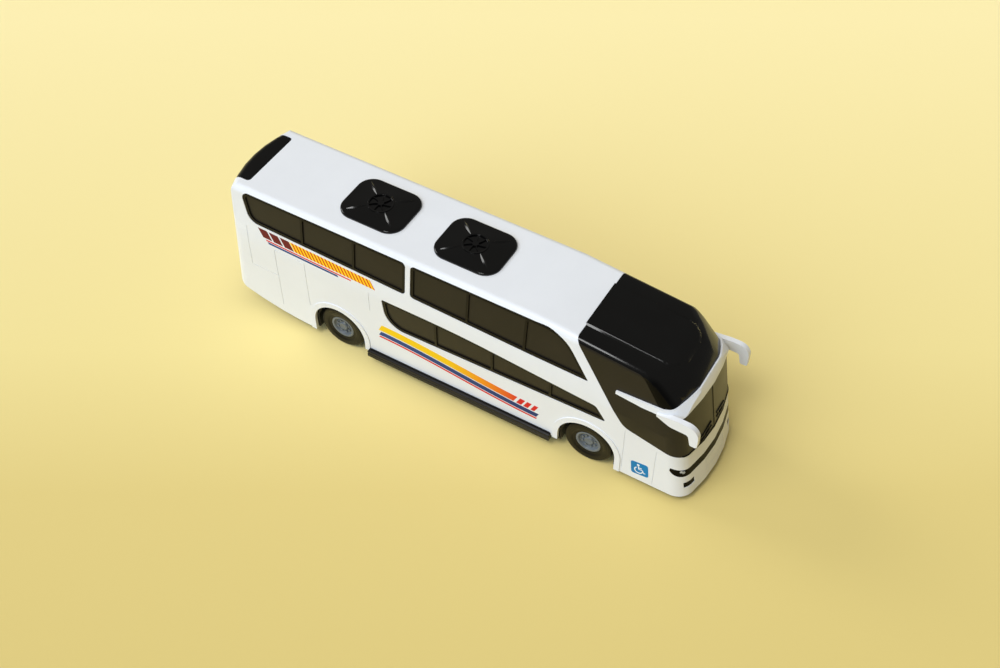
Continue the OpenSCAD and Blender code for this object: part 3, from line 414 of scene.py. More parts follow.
# Hub: its steps inwards, each with its rise
HUB_POINTS = 40
HUB_RADIUS = 2.5 * MM
HUB_HEIGHT = 1.4 * MM
HUB_MIDDLE = 3.4 * MM
HUB_STEPS = [(0.35 * MM, 0.25 * MM), (0.9 * MM, 0.0), (0.2 * MM, -0.35 * MM)]
# Ribs: pairs hold the values at the ring and at the tip, and the swell narrows a rib to both ends
RIB_CUTS = 9
RIB_SPAN = (10.6 * MM, 26.2 * MM)
RIB_FOOT = (3.05 * MM, 1.9 * MM)
RIB_WIDTH = 2.5 * MM
RIB_EDGE = 0.35 * MM
RIB_RIDGE = 0.78 * MM
RIB_SWELL_START = 0.04
RIB_SWELL_LENGTH = 0.92
RIB_SWELL_POWER = 0.8
RIB_SWELL_LEAST = 0.02
HALVINGS = 40


def between(pair, share):
    """The value at a share of the way from a pair's first value to its second."""
    return pair[0] + (pair[1] - pair[0]) * share


def lid_reach(angle):
    """Distance from the lid's middle to its rounded outline in one direction."""
    low, high = 0.0, 2 * HATCH_HALF[0]
    for _ in range(HALVINGS):
        middle = (low + high) / 2
        along = max(abs(middle * math.cos(angle)) - (HATCH_HALF[0] - HATCH_CORNER), 0.0)
        across = max(abs(middle * math.sin(angle)) - (HATCH_HALF[1] - HATCH_CORNER), 0.0)
        if math.hypot(along, across) > HATCH_CORNER:
            high = middle
        else:
            low = middle
    return low


def raise_ring(piece, centre_x, radius_at, height):
    """Extrudes the selected top face and moves its ring to a radius that depends on the direction."""
    bpy.ops.object.mode_set(mode="EDIT")
    bpy.ops.mesh.extrude_region()
    bpy.ops.object.mode_set(mode="OBJECT")
    for vertex in piece.data.vertices:
        if vertex.select:
            angle = math.atan2(vertex.co.y, vertex.co.x - centre_x)
            radius = radius_at(angle)
            vertex.co = (centre_x + radius * math.cos(angle), radius * math.sin(angle), ROOF_Z + height)


def hatch_lid(centre_x):
    """The lid, raised ring by ring from its outline to the floor of its fan."""
    lid = added(bpy.ops.mesh.primitive_circle_add, vertices=LID_POINTS, radius=FAN_OUTER, fill_type="NGON")
    for vertex in lid.data.vertices:
        angle = math.atan2(vertex.co.y, vertex.co.x)
        radius = lid_reach(angle)
        vertex.co = (centre_x + radius * math.cos(angle), radius * math.sin(angle), ROOF_Z + LID_FOOT)
    bpy.ops.object.mode_set(mode="EDIT")
    bpy.ops.mesh.select_mode(type="FACE")
    bpy.ops.mesh.select_all(action="SELECT")
    bpy.ops.object.mode_set(mode="OBJECT")
    for inset, height in LID_EDGE:
        raise_ring(lid, centre_x, lambda angle: lid_reach(angle) - inset * MM, height * MM)
    last_inset, last_height = LID_EDGE[-1]
    for step in range(1, LID_SLOPE_STEPS + 1):
        share = step / LID_SLOPE_STEPS
        height = between((last_height, FAN_RINGS[0][1]), share ** LID_SLOPE_POWER)
        raise_ring(lid, centre_x, lambda angle: between((lid_reach(angle) - last_inset * MM, LID_SLOPE_END), share),
                   height * MM)
    for radius, height in FAN_RINGS:
        raise_ring(lid, centre_x, lambda angle: radius * MM, height * MM)
    face_outwards(lid)
    return lid


def shaped_bar(cuts, centre_x, angle, shape):
    """A finely divided cube made a bar that points away from the hatch's middle.

    shape gives each point's radius, sideways distance and height from its shares along, across and up the bar."""
    bar = added(bpy.ops.mesh.primitive_cube_add, size=1.0)
    bpy.ops.object.mode_set(mode="EDIT")
    bpy.ops.mesh.select_all(action="SELECT")
    bpy.ops.mesh.subdivide(number_cuts=cuts)
    bpy.ops.object.mode_set(mode="OBJECT")
    for vertex in bar.data.vertices:
        radius, across, height = shape(vertex.co.x + 0.5, vertex.co.y, vertex.co.z + 0.5)
        vertex.co = (centre_x + radius * math.cos(angle) - across * math.sin(angle),
                     radius * math.sin(angle) + across * math.cos(angle), ROOF_Z + height)
    return bar


def vane_shape(along, across, up):
    """An upright vane that curves from the fan's hub to its ring."""
    return (between(VANE_SPAN, along), across * between(VANE_THICKNESS, along) + VANE_BOW * along * along,
            VANE_FOOT + up * between(VANE_HEIGHT, along))


def rib_shape(along, across, up):
    """A spear-shaped rib from the fan's ring towards a corner, with a ridge along its middle."""
    swell = math.sin(math.pi * min(1.0, along * RIB_SWELL_LENGTH + RIB_SWELL_START))
    swell = max(RIB_SWELL_LEAST, swell) ** RIB_SWELL_POWER
    ridge = 1 - abs(2 * across)
    return (between(RIB_SPAN, along), across * RIB_WIDTH * swell,
            between(RIB_FOOT, along) + up * (RIB_EDGE + RIB_RIDGE * ridge * swell))


def hatch_hub(centre_x):
    """The fan's stepped hub with a shallow dimple."""
    hub = added(bpy.ops.mesh.primitive_cylinder_add, vertices=HUB_POINTS, radius=HUB_RADIUS, depth=HUB_HEIGHT,
                location=(centre_x, 0, ROOF_Z + HUB_MIDDLE))
    bpy.ops.object.transform_apply(location=True, rotation=True, scale=True)
    step_face(hub, Vector((0, 0, 1)), HUB_STEPS)
    return hub


diagonal = math.atan2(HATCH_HALF[1], HATCH_HALF[0])
for end, centre_x in HATCH_X.items():
    parts = [hatch_lid(centre_x)]
    for vane in range(VANES):
        parts.append(shaped_bar(VANE_CUTS, centre_x, 2 * math.pi * vane / VANES, vane_shape))
    parts.append(hatch_hub(centre_x))
    for angle in (diagonal, math.pi - diagonal, math.pi + diagonal, -diagonal):
        parts.append(shaped_bar(RIB_CUTS, centre_x, angle, rib_shape))
    hatch = joined("hatch_cover_" + end, parts, HATCH_SMOOTH_ANGLE)
    give(hatch, gloss_black)
    place(hatch, "body", "black_plastic", "roof_hatch_" + end)


# Wheels, turned round their axles

AXLE_X = {"front": 123.2 * MM, "rear": -100.8 * MM}
AXLE_Z = 20.2 * MM
WHEEL_Y = 34.3 * MM
# Half profiles in millimetres: distance from the axle, distance outwards from the wheel's middle plane
TYRE_PROFILE = [
    (10.62, -5.99), (12.4, -5.99), (13.0, -6.25), (13.5, -6.75), (14.4, -6.97), (16.4, -7.0), (17.9, -6.9),
    (19.0, -6.45), (19.75, -5.75), (20.08, -4.9), (20.17, -3.6), (20.2, -2.75), (20.05, -2.62), (19.55, -2.55),
    (19.5, -2.33), (19.55, -2.12), (20.05, -2.05), (20.2, -1.92), (20.2, 0.0), (20.2, 1.92), (20.05, 2.05),
    (19.55, 2.12), (19.5, 2.33), (19.55, 2.55), (20.05, 2.62), (20.2, 2.75), (20.17, 3.6), (20.08, 4.9),
    (19.75, 5.75), (19.0, 6.45), (17.9, 6.9), (17.2, 6.96), (17.05, 6.88), (16.9, 6.97), (16.4, 7.0), (14.4, 6.97),
    (13.5, 6.75), (13.0, 6.25), (12.4, 6.05), (11.6, 6.0), (11.3, 5.9), (10.62, 5.9)]
DISC_PROFILE = [
    (1.55, -5.99), (9.9, -5.99), (10.4, -5.7), (10.5, -5.2), (10.5, 5.4), (10.35, 5.85), (10.0, 5.99), (9.1, 5.99),
    (8.75, 5.9), (8.5, 5.6), (8.2, 4.4), (8.0, 3.95), (7.6, 3.7), (7.35, 3.68), (7.2, 3.4), (7.0, 3.3), (6.8, 3.4),
    (6.65, 3.6), (4.6, 3.6), (4.3, 3.65), (4.05, 3.95), (3.75, 4.9), (3.5, 5.2), (3.1, 5.3), (2.3, 5.3), (2.1, 5.15),
    (1.9, 5.1), (0.0, 5.1), (0.0, 3.19), (1.55, 3.19)]
SPIN_STEPS = 96
SPIN_MERGE = 0.005 * MM
# Nuts: their number, the first one's angle in degrees, their circle, their size and their place outwards
NUTS = 8
NUT_TURN = 22.5
NUT_CIRCLE = 5.65 * MM
NUT_RADIUS = 0.85 * MM
NUT_HEIGHT = 1.4 * MM
NUT_OUT = 3.9 * MM
NUT_STEPS = [(0.22 * MM, 0.2 * MM), (0.1 * MM, 0.25 * MM)]


def turned(name, profile, axle_x, sign):
    """Sets a ring of points to a half profile and spins it once round the axle."""
    piece = added(bpy.ops.mesh.primitive_circle_add, vertices=len(profile), radius=1.0)
    piece.name = name
    for vertex, (radius, out) in zip(piece.data.vertices, profile):
        vertex.co = (axle_x, sign * (WHEEL_Y + out * MM), AXLE_Z + radius * MM)
    bpy.ops.object.mode_set(mode="EDIT")
    bpy.ops.mesh.select_all(action="SELECT")
    bpy.ops.mesh.spin(steps=SPIN_STEPS, angle=2 * math.pi, center=(axle_x, 0, AXLE_Z), axis=(0, 1, 0))
    bpy.ops.object.mode_set(mode="OBJECT")
    face_outwards(piece, SPIN_MERGE)
    return piece


def wheel_nut(angle, axle_x, sign):
    """One six-sided nut with a stepped, chamfered top, on the disc's nut circle."""
    centre = (axle_x + NUT_CIRCLE * math.cos(angle), sign * (WHEEL_Y + NUT_OUT),
              AXLE_Z + NUT_CIRCLE * math.sin(angle))
    nut = added(bpy.ops.mesh.primitive_cylinder_add, vertices=6, radius=NUT_RADIUS, depth=NUT_HEIGHT, location=centre,
                rotation=(math.pi / 2, 0, 0))
    bpy.ops.object.transform_apply(location=True, rotation=True, scale=True)
    step_face(nut, Vector((0, sign, 0)), NUT_STEPS)
    return nut


for end, axle_x in AXLE_X.items():
    for side, sign in SIDE_SIGN.items():
        tyre = turned(end + "_tyre_ring_" + side, TYRE_PROFILE, axle_x, sign)
        smooth(tyre)
        give(tyre, tyre_rubber)
        place(tyre, end + "_wheelset", "tyre_rubber", end + "_tyre_" + side)
        parts = [turned(end + "_wheel_disc_" + side, DISC_PROFILE, axle_x, sign)]
        for nut in range(NUTS):
            parts.append(wheel_nut(math.radians(360 / NUTS * nut + NUT_TURN), axle_x, sign))
        disc = joined(end + "_wheel_disc_" + side, parts)
        give(disc, hub_grey)
        place(disc, end + "_wheelset", "hub_plastic", end + "_hub_" + side)


# Printed films

PRINT_GLEAM = 0.16
PRINT_ROUGHNESS = (0.28, 0.4)
PRINT_SPECK = 900.0
SPECK_DETAIL = 2.0
# Where the colours of the films begin and end along the coach
LOWER_SPAN = (-60 * MM, 85 * MM)
UPPER_SPAN = (-180 * MM, -50 * MM)
SIGN_SPAN = (160 * MM, 176 * MM)
# Hatch lines: their pitch along the coach, their slant, and the shares of a pitch between which the colour changes
HATCH_PITCH = 3.4 * MM
HATCH_SLANT = 0.55
HATCH_CHANGE = (0.2, 0.24)


def hatch_lines(finish, split, ground, colour):
    """Slanted lines of a colour over a ground."""
    slant = node_of(finish, "ShaderNodeMath", {1: HATCH_SLANT}, operation="MULTIPLY_ADD")
    link(finish, split, "Z", slant, 0)
    link(finish, split, "X", slant, 2)
    wave = node_of(finish, "ShaderNodeMath", {1: HATCH_PITCH / 2}, operation="PINGPONG")
    link(finish, slant, "Value", wave, 0)
    mask = ranged(finish, wave, "Value", *(HATCH_PITCH * share for share in HATCH_CHANGE))
    mix = node_of(finish, "ShaderNodeMixRGB", {"Color2": linear(*colour)})
    link(finish, mask, "Result", mix, "Fac")
    link(finish, ground, "Color", mix, "Color1")
    return mix


def print_finish(name, stops, span, hatch=None):
    """A printed film: colours that run along the coach, with hatch lines of another colour where asked for."""
    finish, shader, where = new_finish(name)
    shader.inputs["Specular IOR Level"].default_value = PRINT_GLEAM
    split = node_of(finish, "ShaderNodeSeparateXYZ")
    link(finish, where, "Object", split, "Vector")
    ink = colour_ramp(finish, stops)
    link(finish, ranged(finish, split, "X", *span), "Result", ink, "Fac")
    if hatch:
        ink = hatch_lines(finish, split, ink, hatch)
    link(finish, ink, "Color", shader, "Base Color")
    speck = noise(finish, where, PRINT_SPECK, SPECK_DETAIL)
    gloss = ranged(finish, speck, "Fac", 0.0, 1.0, *PRINT_ROUGHNESS)
    link(finish, gloss, "Result", shader, "Roughness")
    return finish


RED = (212, 34, 32)
warm_print = print_finish("warm_print", [(0.0, (248, 204, 10)), (0.42, (246, 196, 14)), (0.66, (240, 140, 22)),
                                         (0.86, (222, 50, 34)), (1.0, RED)], LOWER_SPAN)
navy_print = print_finish("navy_print", [(0.0, (40, 70, 126)), (1.0, (36, 56, 104))], LOWER_SPAN)
red_print = print_finish("red_print", [(0.0, (218, 40, 36)), (1.0, RED)], LOWER_SPAN)
maroon_print = print_finish("maroon_print", [(0.0, (104, 30, 32)), (1.0, (122, 34, 34))], UPPER_SPAN)
hatch_print = print_finish("hatch_print", [(0.0, (206, 48, 22)), (1.0, (222, 70, 20))], UPPER_SPAN, (253, 206, 30))
sign_blue = print_finish("sign_blue", [(0.0, (10, 120, 176)), (1.0, (6, 126, 184))], SIGN_SPAN)
sign_white = print_finish("sign_white", [(0.0, (240, 242, 242)), (1.0, (236, 238, 240))], SIGN_SPAN)


# Printed stripes, laid on both sides of the body

FILM = 0.12 * MM
FILM_OFFSET = 0.6
STRIPE_CUTS = 4
# How far out from the side a stripe starts, and how far it may be moved to reach the body
STRIPE_CLEAR = 12 * MM
STRIPE_REACH = 30 * MM
# How far the ends of the stripes lean along the coach for each millimetre up
LOWER_LEAN = 0.5
UPPER_LEAN = -0.6
# The lower stripes' line, in millimetres: its start, length, height and drop
FLOW_START = -62
FLOW_LENGTH = 145
FLOW_HEIGHT = 44.5
FLOW_DROP = 11.5
# The upper stripes' line: its height in millimetres and its fall to the front in degrees
LINE_HEIGHT = 96
LINE_FALL = 1.6
# The lower dashes and upper blocks, in millimetres: first place, pitch and length, and how much shorter each next
# dash is
BARS = 3
DASH_START, DASH_PITCH, DASH_LENGTH, DASH_LESS = 62.4, 6.2, 4.4, 0.5
BLOCK_START, BLOCK_PITCH, BLOCK_LENGTH = -167, 10.4, 8.6
# Edges of the stripes above the stripes' lines, in millimetres
WARM_EDGES = (-1.0, 6.0)
BLOCK_EDGES = (-9.4, -1.6)


def flow(offset):
    """A line that sinks gently along the lower side: its height in millimetres at a place."""
    def height(x):
        share = min(1.0, max(0.0, (x - FLOW_START) / FLOW_LENGTH))
        bend = share * share * (3 - 2 * share)
        return offset + FLOW_HEIGHT - FLOW_DROP * bend
    return height


def sill_line(offset):
    """A line below the upper windows: its height in millimetres at a place."""
    def height(x):
        return LINE_HEIGHT - x * math.tan(math.radians(LINE_FALL)) + offset
    return height


def stripe(name, finish, line, edges, start, end, steps, lean, sign):
    """A thin printed band between two edges along a line, over a length of the side, with slanted ends."""
    lower, upper = line(edges[0]), line(edges[1])
    band = added(bpy.ops.mesh.primitive_grid_add, x_subdivisions=steps, y_subdivisions=STRIPE_CUTS, size=2.0)
    band.name = name
    for vertex in band.data.vertices:
        x = between((start, end), (vertex.co.x + 1) / 2)
        low = lower(x)
        z = between((low, upper(x)), (vertex.co.y + 1) / 2)
        vertex.co = ((x + lean * (z - low)) * MM, sign * (HALF_WIDTH + STRIPE_CLEAR), z * MM)
    wrap = band.modifiers.new("laid_on_side", "SHRINKWRAP")
    wrap.target = coach_body
    wrap.wrap_method = "PROJECT"
    wrap.use_project_x = False
    wrap.use_project_y = True
    wrap.use_project_z = False
    wrap.use_positive_direction = True
    wrap.use_negative_direction = True
    wrap.project_limit = STRIPE_REACH
    apply_all(band)
    face_outwards(band)
    if band.data.polygons[0].normal.y * sign < 0:
        band.data.flip_normals()
    film = band.modifiers.new("film", "SOLIDIFY")
    film.thickness = FILM
    film.offset = FILM_OFFSET
    apply_all(band)
    smooth(band)
    give(band, finish)
    place(band, "body", "white_plastic")


def lower_stripes(tag, sign):
    """The lower side's warm band with its dashes, over a navy and a red line."""
    def band(name, finish, edges, start, end, steps):
        stripe(name + tag, finish, flow, edges, start, end, steps, LOWER_LEAN, sign)
    band("stripe_warm", warm_print, WARM_EDGES, start=FLOW_START, end=60, steps=72)
    for bar in range(BARS):
        start = DASH_START + DASH_PITCH * bar
        band("stripe_dash_%d" % bar, red_print, WARM_EDGES, start, start + DASH_LENGTH - DASH_LESS * bar, steps=6)
    band("stripe_navy", navy_print, edges=(-6.8, -2.2), start=FLOW_START, end=80, steps=84)
    band("stripe_red", red_print, edges=(-9.4, -7.7), start=FLOW_START, end=80, steps=84)


def upper_stripes(tag, sign):
    """The hatched band with its blocks below the rear windows, over a fine red and a fine navy line."""
    def band(name, finish, edges, start, end, steps):
        stripe(name + tag, finish, sill_line, edges, start, end, steps, UPPER_LEAN, sign)
    band("stripe_hatched", hatch_print, BLOCK_EDGES, start=-137, end=-62, steps=48)
    for bar in range(BARS):
        start = BLOCK_START + BLOCK_PITCH * bar
        band("stripe_block_%d" % bar, maroon_print, BLOCK_EDGES, start, start + BLOCK_LENGTH, steps=8)
    band("stripe_fine_red", red_print, edges=(-11.8, -10.6), start=-164, end=-84, steps=48)
    band("stripe_fine_navy", navy_print, edges=(-14.2, -12.4), start=-162, end=-96, steps=48)


for side, sign in SIDE_SIGN.items():
    lower_stripes("_" + side, sign)
    upper_stripes("_" + side, sign)


# Blue access sign with a white wheelchair figure, on the right side ahead of the front wheel

SIGN_CENTRE = (168.0 * MM, 21.8 * MM)
SIGN_HALF = 7.1 * MM
SIGN_TURN = math.radians(6)
SIGN_FACE = -HALF_WIDTH - 0.1 * MM
SIGN_POINTS = 64
# The higher this power, the squarer the plate's corners
SIGN_SQUARENESS = 8
SIGN_SUNK = 0.1 * MM
SIGN_THICKNESS = 0.14 * MM
SIGN_EDGE = 0.05 * MM
# The figure, in millimetres from the sign's middle: its back, seat and leg, its arm, and the wheel's middle, radius
# and first and last angle in degrees
FIGURE_BACK = [(-0.9, 2.7), (-0.65, -0.7), (2.3, -0.7), (3.5, -3.7), (4.7, -3.2)]
FIGURE_ARM = [(-0.75, 1.1), (2.0, 1.1)]
FIGURE_WHEEL = (-0.8, -1.9)
FIGURE_WHEEL_RADIUS = 3.2
FIGURE_WHEEL_ANGLES = range(118, 356, 9)
FIGURE_HEAD = (-0.95, 4.2)
FIGURE_STROKE = 1.05 * MM
FIGURE_HEAD_WIDTH = 2.3 * MM
FIGURE_HEAD_DEPTH = 0.4 * MM
# The figure is pressed flat to a share of its depth, within these distances of the sign's face
FIGURE_FLAT_SHARE = 0.3
FIGURE_PROUD = 0.16 * MM
FIGURE_SUNK = 0.1 * MM
BAR_ROUNDNESS = 3


def sign_point(u, v, depth=0.0):
    """A point of the sign's face, from its own sideways and upwards distance."""
    return (SIGN_CENTRE[0] + u * math.cos(SIGN_TURN) - v * math.sin(SIGN_TURN), SIGN_FACE - depth,
            SIGN_CENTRE[1] + u * math.sin(SIGN_TURN) + v * math.cos(SIGN_TURN))


def line_piece(name, points, width):
    """A round bar along a line of points, made a mesh."""
    data = bpy.data.curves.new(name, "CURVE")
    data.dimensions = "3D"
    data.bevel_depth = width / 2
    data.bevel_resolution = BAR_ROUNDNESS
    data.use_fill_caps = True
    spline = data.splines.new("POLY")
    spline.points.add(len(points) - 1)
    for target, point in zip(spline.points, points):
        target.co = (*point, 1.0)
    bar = bpy.data.objects.new(name, data)
    bpy.context.scene.collection.objects.link(bar)
    only(bar)
    bpy.ops.object.convert(target="MESH")
    bar = bpy.context.object
    face_outwards(bar, MERGE)
    return bar


def access_sign():
    """The sign's thin plate with rounded corners."""
    plate = added(bpy.ops.mesh.primitive_circle_add, vertices=SIGN_POINTS, radius=1.0, fill_type="NGON")
    plate.name = "access_sign"
    for vertex in plate.data.vertices:
        angle = math.atan2(vertex.co.y, vertex.co.x)
        total = abs(math.cos(angle)) ** SIGN_SQUARENESS + abs(math.sin(angle)) ** SIGN_SQUARENESS
        reach = SIGN_HALF / total ** (1 / SIGN_SQUARENESS)
        vertex.co = sign_point(reach * math.cos(angle), reach * math.sin(angle), -SIGN_SUNK)
    bpy.ops.object.mode_set(mode="EDIT")
    bpy.ops.mesh.select_all(action="SELECT")
    bpy.ops.mesh.extrude_region()
    bpy.ops.transform.translate(value=(0, -SIGN_THICKNESS, 0))
    bpy.ops.object.mode_set(mode="OBJECT")
    face_outwards(plate)
    soften(plate, SIGN_EDGE, segments=2, angle=MOULDING_ANGLE, even=True)
    give(plate, sign_blue)
    place(plate, "body", "white_plastic")


def access_figure():
    """The sign's figure, made of round bars pressed flat."""
    wheel = []
    for angle in FIGURE_WHEEL_ANGLES:
        wheel.append((FIGURE_WHEEL[0] + FIGURE_WHEEL_RADIUS * math.cos(math.radians(angle)),
                      FIGURE_WHEEL[1] + FIGURE_WHEEL_RADIUS * math.sin(math.radians(angle))))
    parts = []
    for line in (FIGURE_BACK, FIGURE_ARM, wheel):
        parts.append(line_piece("figure_line", [sign_point(u * MM, v * MM) for u, v in line], FIGURE_STROKE))
    head = [sign_point(FIGURE_HEAD[0] * MM, FIGURE_HEAD[1] * MM, depth)
            for depth in (-FIGURE_HEAD_DEPTH, FIGURE_HEAD_DEPTH)]
    parts.append(line_piece("figure_head", head, FIGURE_HEAD_WIDTH))
    figure = joined("access_figure", parts)
    for vertex in figure.data.vertices:
        pressed = (vertex.co.y - SIGN_FACE) * FIGURE_FLAT_SHARE
        vertex.co.y = SIGN_FACE + max(-FIGURE_PROUD, min(FIGURE_SUNK, pressed))
    give(figure, sign_white)
    place(figure, "body", "white_plastic")


access_sign()
access_figure()


# Wipers, the divider of the windscreen and the black seal below the glass

# How far ahead of the coach's middle the search for the glass starts
AHEAD = 300 * MM
# Wipers, in millimetres: the place across of their outer end, their reach inwards, the heights of each bar's ends,
# and the shares of the reach at which the links stand, with the links' height
WIPER_OUTER = 19.5
WIPER_REACH = 15
WIPER_BARS = [(52.6, 55.6), (56.8, 59.9)]
WIPER_BAR_STEPS = 8
WIPER_BAR_WIDTH = 1.3 * MM
WIPER_BAR_PROUD = 0.25 * MM
WIPER_LINKS = (0.3, 0.8)
WIPER_LINK_RISE = 3
WIPER_LINK_HEIGHT = 4.3
WIPER_LINK_STEPS = 3
WIPER_LINK_WIDTH = 0.9 * MM
WIPER_LINK_PROUD = 0.2 * MM
# Divider: the heights of its ends in millimetres
DIVIDER_ENDS = (51.5, 95)
DIVIDER_STEPS = 24
DIVIDER_WIDTH = 0.8 * MM
DIVIDER_PROUD = 0.05 * MM
# Seal, in millimetres: half its width across, the glass's lower edge (a place, its height there and its fall to the
# front in degrees), the seal's height above that edge and a first guess of its height
SEAL_HALF = 38.5
SEAL_STEPS = 80
SEAL_PLACE = 151.3
SEAL_HEIGHT = 62.4
SEAL_FALL = 13.6
SEAL_ABOVE = 0.7
SEAL_GUESS = 52.0
SEAL_ROUNDS = 4
SEAL_WIDTH = 1.1 * MM
SEAL_PROUD = 0.1 * MM


def on_glass(y, z, proud=0.0):
    """A point of the windscreen's face, seen from ahead."""
    hit, point, normal, _ = front_glass.ray_cast((AHEAD, y * MM, z * MM), (-1, 0, 0))
    assert hit, (y, z)
    return point + normal * proud


def seal_height(x):
    """Height of the glass's lower edge at a place along the coach, in millimetres."""
    return SEAL_HEIGHT - (x - SEAL_PLACE) * math.tan(math.radians(SEAL_FALL))


def black_trim(name, parts):
    """Joins bars into one piece of black trim on the body."""
    piece = joined(name, parts)
    give(piece, gloss_black)
    place(piece, "body", "black_plastic")


def wiper(side, sign):
    """A wiper of two bars with two links between them."""
    bars = []
    for heights in WIPER_BARS:
        points = []
        for step in range(WIPER_BAR_STEPS + 1):
            share = step / WIPER_BAR_STEPS
            points.append(on_glass(sign * (WIPER_OUTER - WIPER_REACH * share), between(heights, share),
                                   WIPER_BAR_PROUD))
        bars.append(line_piece("wiper_bar", points, WIPER_BAR_WIDTH))
    for share in WIPER_LINKS:
        y = sign * (WIPER_OUTER - WIPER_REACH * share)
        foot = WIPER_BARS[0][0] + WIPER_LINK_RISE * share
        points = []
        for step in range(WIPER_LINK_STEPS + 1):
            points.append(on_glass(y, foot + WIPER_LINK_HEIGHT * step / WIPER_LINK_STEPS, WIPER_LINK_PROUD))
        bars.append(line_piece("wiper_link", points, WIPER_LINK_WIDTH))
    black_trim("wiper_" + side, bars)


def glass_divider():
    """The upright line that divides the windscreen."""
    points = []
    for step in range(DIVIDER_STEPS + 1):
        points.append(on_glass(0, between(DIVIDER_ENDS, step / DIVIDER_STEPS), DIVIDER_PROUD))
    black_trim("glass_divider", [line_piece("glass_divider", points, DIVIDER_WIDTH)])


def glass_seal():
    """The seal that follows the glass's lower edge round the front."""
    points = []
    for step in range(SEAL_STEPS + 1):
        y = -SEAL_HALF + 2 * SEAL_HALF * step / SEAL_STEPS
        z = SEAL_GUESS
        for _ in range(SEAL_ROUNDS):
            z = seal_height(on_glass(y, z)[0] / MM) + SEAL_ABOVE
        points.append(on_glass(y, z, SEAL_PROUD))
    black_trim("glass_seal", [line_piece("glass_seal", points, SEAL_WIDTH)])


for side, sign in SIDE_SIGN.items():
    wiper(side, sign)
glass_divider()
glass_seal()


# Small lenses in the ends of the headlight bar

# Lenses on each side: place across, height and radius
LENSES = [(39.6 * MM, 35.6 * MM, 1.1 * MM), (36.6 * MM, 34.4 * MM, 1.3 * MM)]
LENS_X = 198.5 * MM
LENS_POINTS = 32
LENS_DEPTH = 0.5 * MM
# The way from outside in to the bar's corner, along and across the coach, and how far outside the search starts
LENS_HEADING = (-0.62, -0.78)
LENS_CLEAR = 50 * MM
# Steps of a lens inwards, each with its rise, as shares of its radius
LENS_STEP_SHARES = [(0.25, 0.0), (0.1, 0.12), (0.35, -0.12)]


def lamp_lens(y, z, radius):
    """A round lens with a stepped rim, set on the headlight bar where it wraps the corner."""
    heading = Vector((LENS_HEADING[0], math.copysign(1, y) * LENS_HEADING[1], 0.0)).normalized()
    hit, point, normal, _ = headlight_bar.ray_cast(Vector((LENS_X, y, z)) - heading * LENS_CLEAR, heading)
    assert hit, (y, z)
    lens = added(bpy.ops.mesh.primitive_cylinder_add, vertices=LENS_POINTS, radius=radius, depth=LENS_DEPTH,
                 location=point, rotation=normal.to_track_quat("Z", "Y").to_euler())
    bpy.ops.object.transform_apply(location=True, rotation=True, scale=True)
    step_face(lens, normal, [(radius * inset, radius * rise) for inset, rise in LENS_STEP_SHARES])
    return lens


for side, sign in SIDE_SIGN.items():
    lenses = joined("lamp_lenses_" + side, [lamp_lens(sign * y, z, radius) for y, z, radius in LENSES])
    give(lenses, lens_grey)
    place(lenses, "body", "black_plastic")


# Floor, light and camera

FLOOR_SIZE = 12.0
FLOOR_ROUGHNESS = 0.8
FLOOR_GLEAM = 0.2
# The floor's colours are painted shade, darker towards the camera and lighter away from it: the turn of that
# direction in degrees, where the shade begins and ends, and the colours themselves
FLOOR_SHADE_TURN = -30.6
FLOOR_SHADE_SPAN = (-0.35, 0.45)
FLOOR_SHADE_STOPS = [(0.0, (221, 199, 123)), (0.275, (227, 205, 130)), (0.45, (242, 223, 151)), (1.0, (254, 237, 174))]
LAMP_DISTANCE = 2
BACKDROP_COLOUR = (250, 246, 236)
BACKDROP_STRENGTH = 0.2
# The camera: its place, its angle down from level and its turn in degrees, its lens and sensor in millimetres
CAMERA_PLACE = (0.3693, -0.5872, 0.8473)
CAMERA_DOWN = 49.65
CAMERA_TURN = 30.56
CAMERA_LENS = 48.67
CAMERA_SENSOR = 36.0
CAMERA_FAR = 50.0


def pale_floor():
    """A plain pale yellow sheet with painted shade that makes it a little lighter away from the camera."""
    floor = added(bpy.ops.mesh.primitive_plane_add, size=FLOOR_SIZE)
    floor.name = "floor_sheet"
    finish, shader, where = new_finish("pale_yellow_paper")
    shader.inputs["Roughness"].default_value = FLOOR_ROUGHNESS
    shader.inputs["Specular IOR Level"].default_value = FLOOR_GLEAM
    aligned = node_of(finish, "ShaderNodeMapping", {"Rotation": (0, 0, math.radians(FLOOR_SHADE_TURN))})
    link(finish, where, "Object", aligned, "Vector")
    split = node_of(finish, "ShaderNodeSeparateXYZ")
    link(finish, aligned, "Vector", split, "Vector")
    # Painted shade: the floor darkens towards the camera, standing for the fall of the light and the coach's soft
    # shadow
    painted_shade = colour_ramp(finish, FLOOR_SHADE_STOPS)
    link(finish, ranged(finish, split, "Y", *FLOOR_SHADE_SPAN), "Result", painted_shade, "Fac")
    link(finish, painted_shade, "Color", shader, "Base Color")
    give(floor, finish)


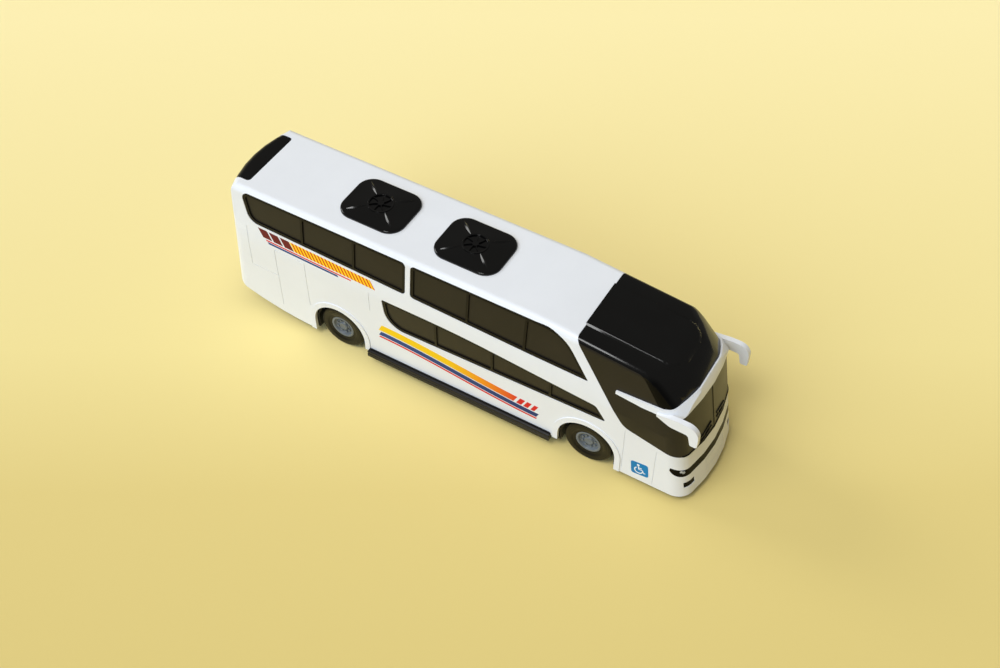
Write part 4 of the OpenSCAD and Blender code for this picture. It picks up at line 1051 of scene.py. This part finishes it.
def far_lamp(name, heading, strength, spread, colour, mirrored=True):
    """A far lamp that shines alike on the whole floor, softer with more spread, and mirrored in gloss or not."""
    data = bpy.data.lights.new(name, "SUN")
    data.energy = strength
    data.angle = math.radians(spread)
    data.color = colour
    lamp = bpy.data.objects.new(name, data)
    lamp.location = Vector(heading) * LAMP_DISTANCE
    lamp.rotation_euler = Vector(heading).to_track_quat("Z", "Y").to_euler()
    lamp.visible_glossy = mirrored
    bpy.context.scene.collection.objects.link(lamp)


def studio_backdrop():
    """A dim, even light from all round."""
    world = bpy.data.worlds.new("studio")
    world.use_nodes = True
    bpy.context.scene.world = world
    backdrop = world.node_tree.nodes["Background"]
    backdrop.inputs["Color"].default_value = linear(*BACKDROP_COLOUR)
    backdrop.inputs["Strength"].default_value = BACKDROP_STRENGTH


def photo_camera():
    """The camera, at the photograph's angle."""
    data = bpy.data.cameras.new("photo_camera")
    data.sensor_fit = "HORIZONTAL"
    data.sensor_width = CAMERA_SENSOR
    data.lens = CAMERA_LENS
    data.clip_end = CAMERA_FAR
    camera = bpy.data.objects.new("photo_camera", data)
    camera.location = CAMERA_PLACE
    camera.rotation_euler = (math.radians(90 - CAMERA_DOWN), 0, math.radians(CAMERA_TURN))
    bpy.context.scene.collection.objects.link(camera)
    bpy.context.scene.camera = camera


pale_floor()
far_lamp("key_light", (-0.38, -0.68, 0.62), strength=1.3, spread=50, colour=(0.98, 1.0, 1.0), mirrored=False)
far_lamp("key_core", (-0.09, -0.455, 0.89), strength=0.8, spread=18, colour=(0.99, 1.0, 1.0))
far_lamp("top_light", (-0.12, -0.2, 0.97), strength=0.74, spread=58, colour=(1.0, 1.0, 0.98), mirrored=False)
far_lamp("left_light", (-0.86, 0.0, 0.51), strength=0.6, spread=20, colour=(1.0, 1.0, 0.98))
# Takes the floor's yellow light off the white side
far_lamp("cool_side_fill", (-0.3, -0.94, 0.16), strength=1.25, spread=70, colour=(0.14, 0.44, 1.0), mirrored=False)
studio_backdrop()
photo_camera()

bpy.context.scene.view_settings.view_transform = "Standard"
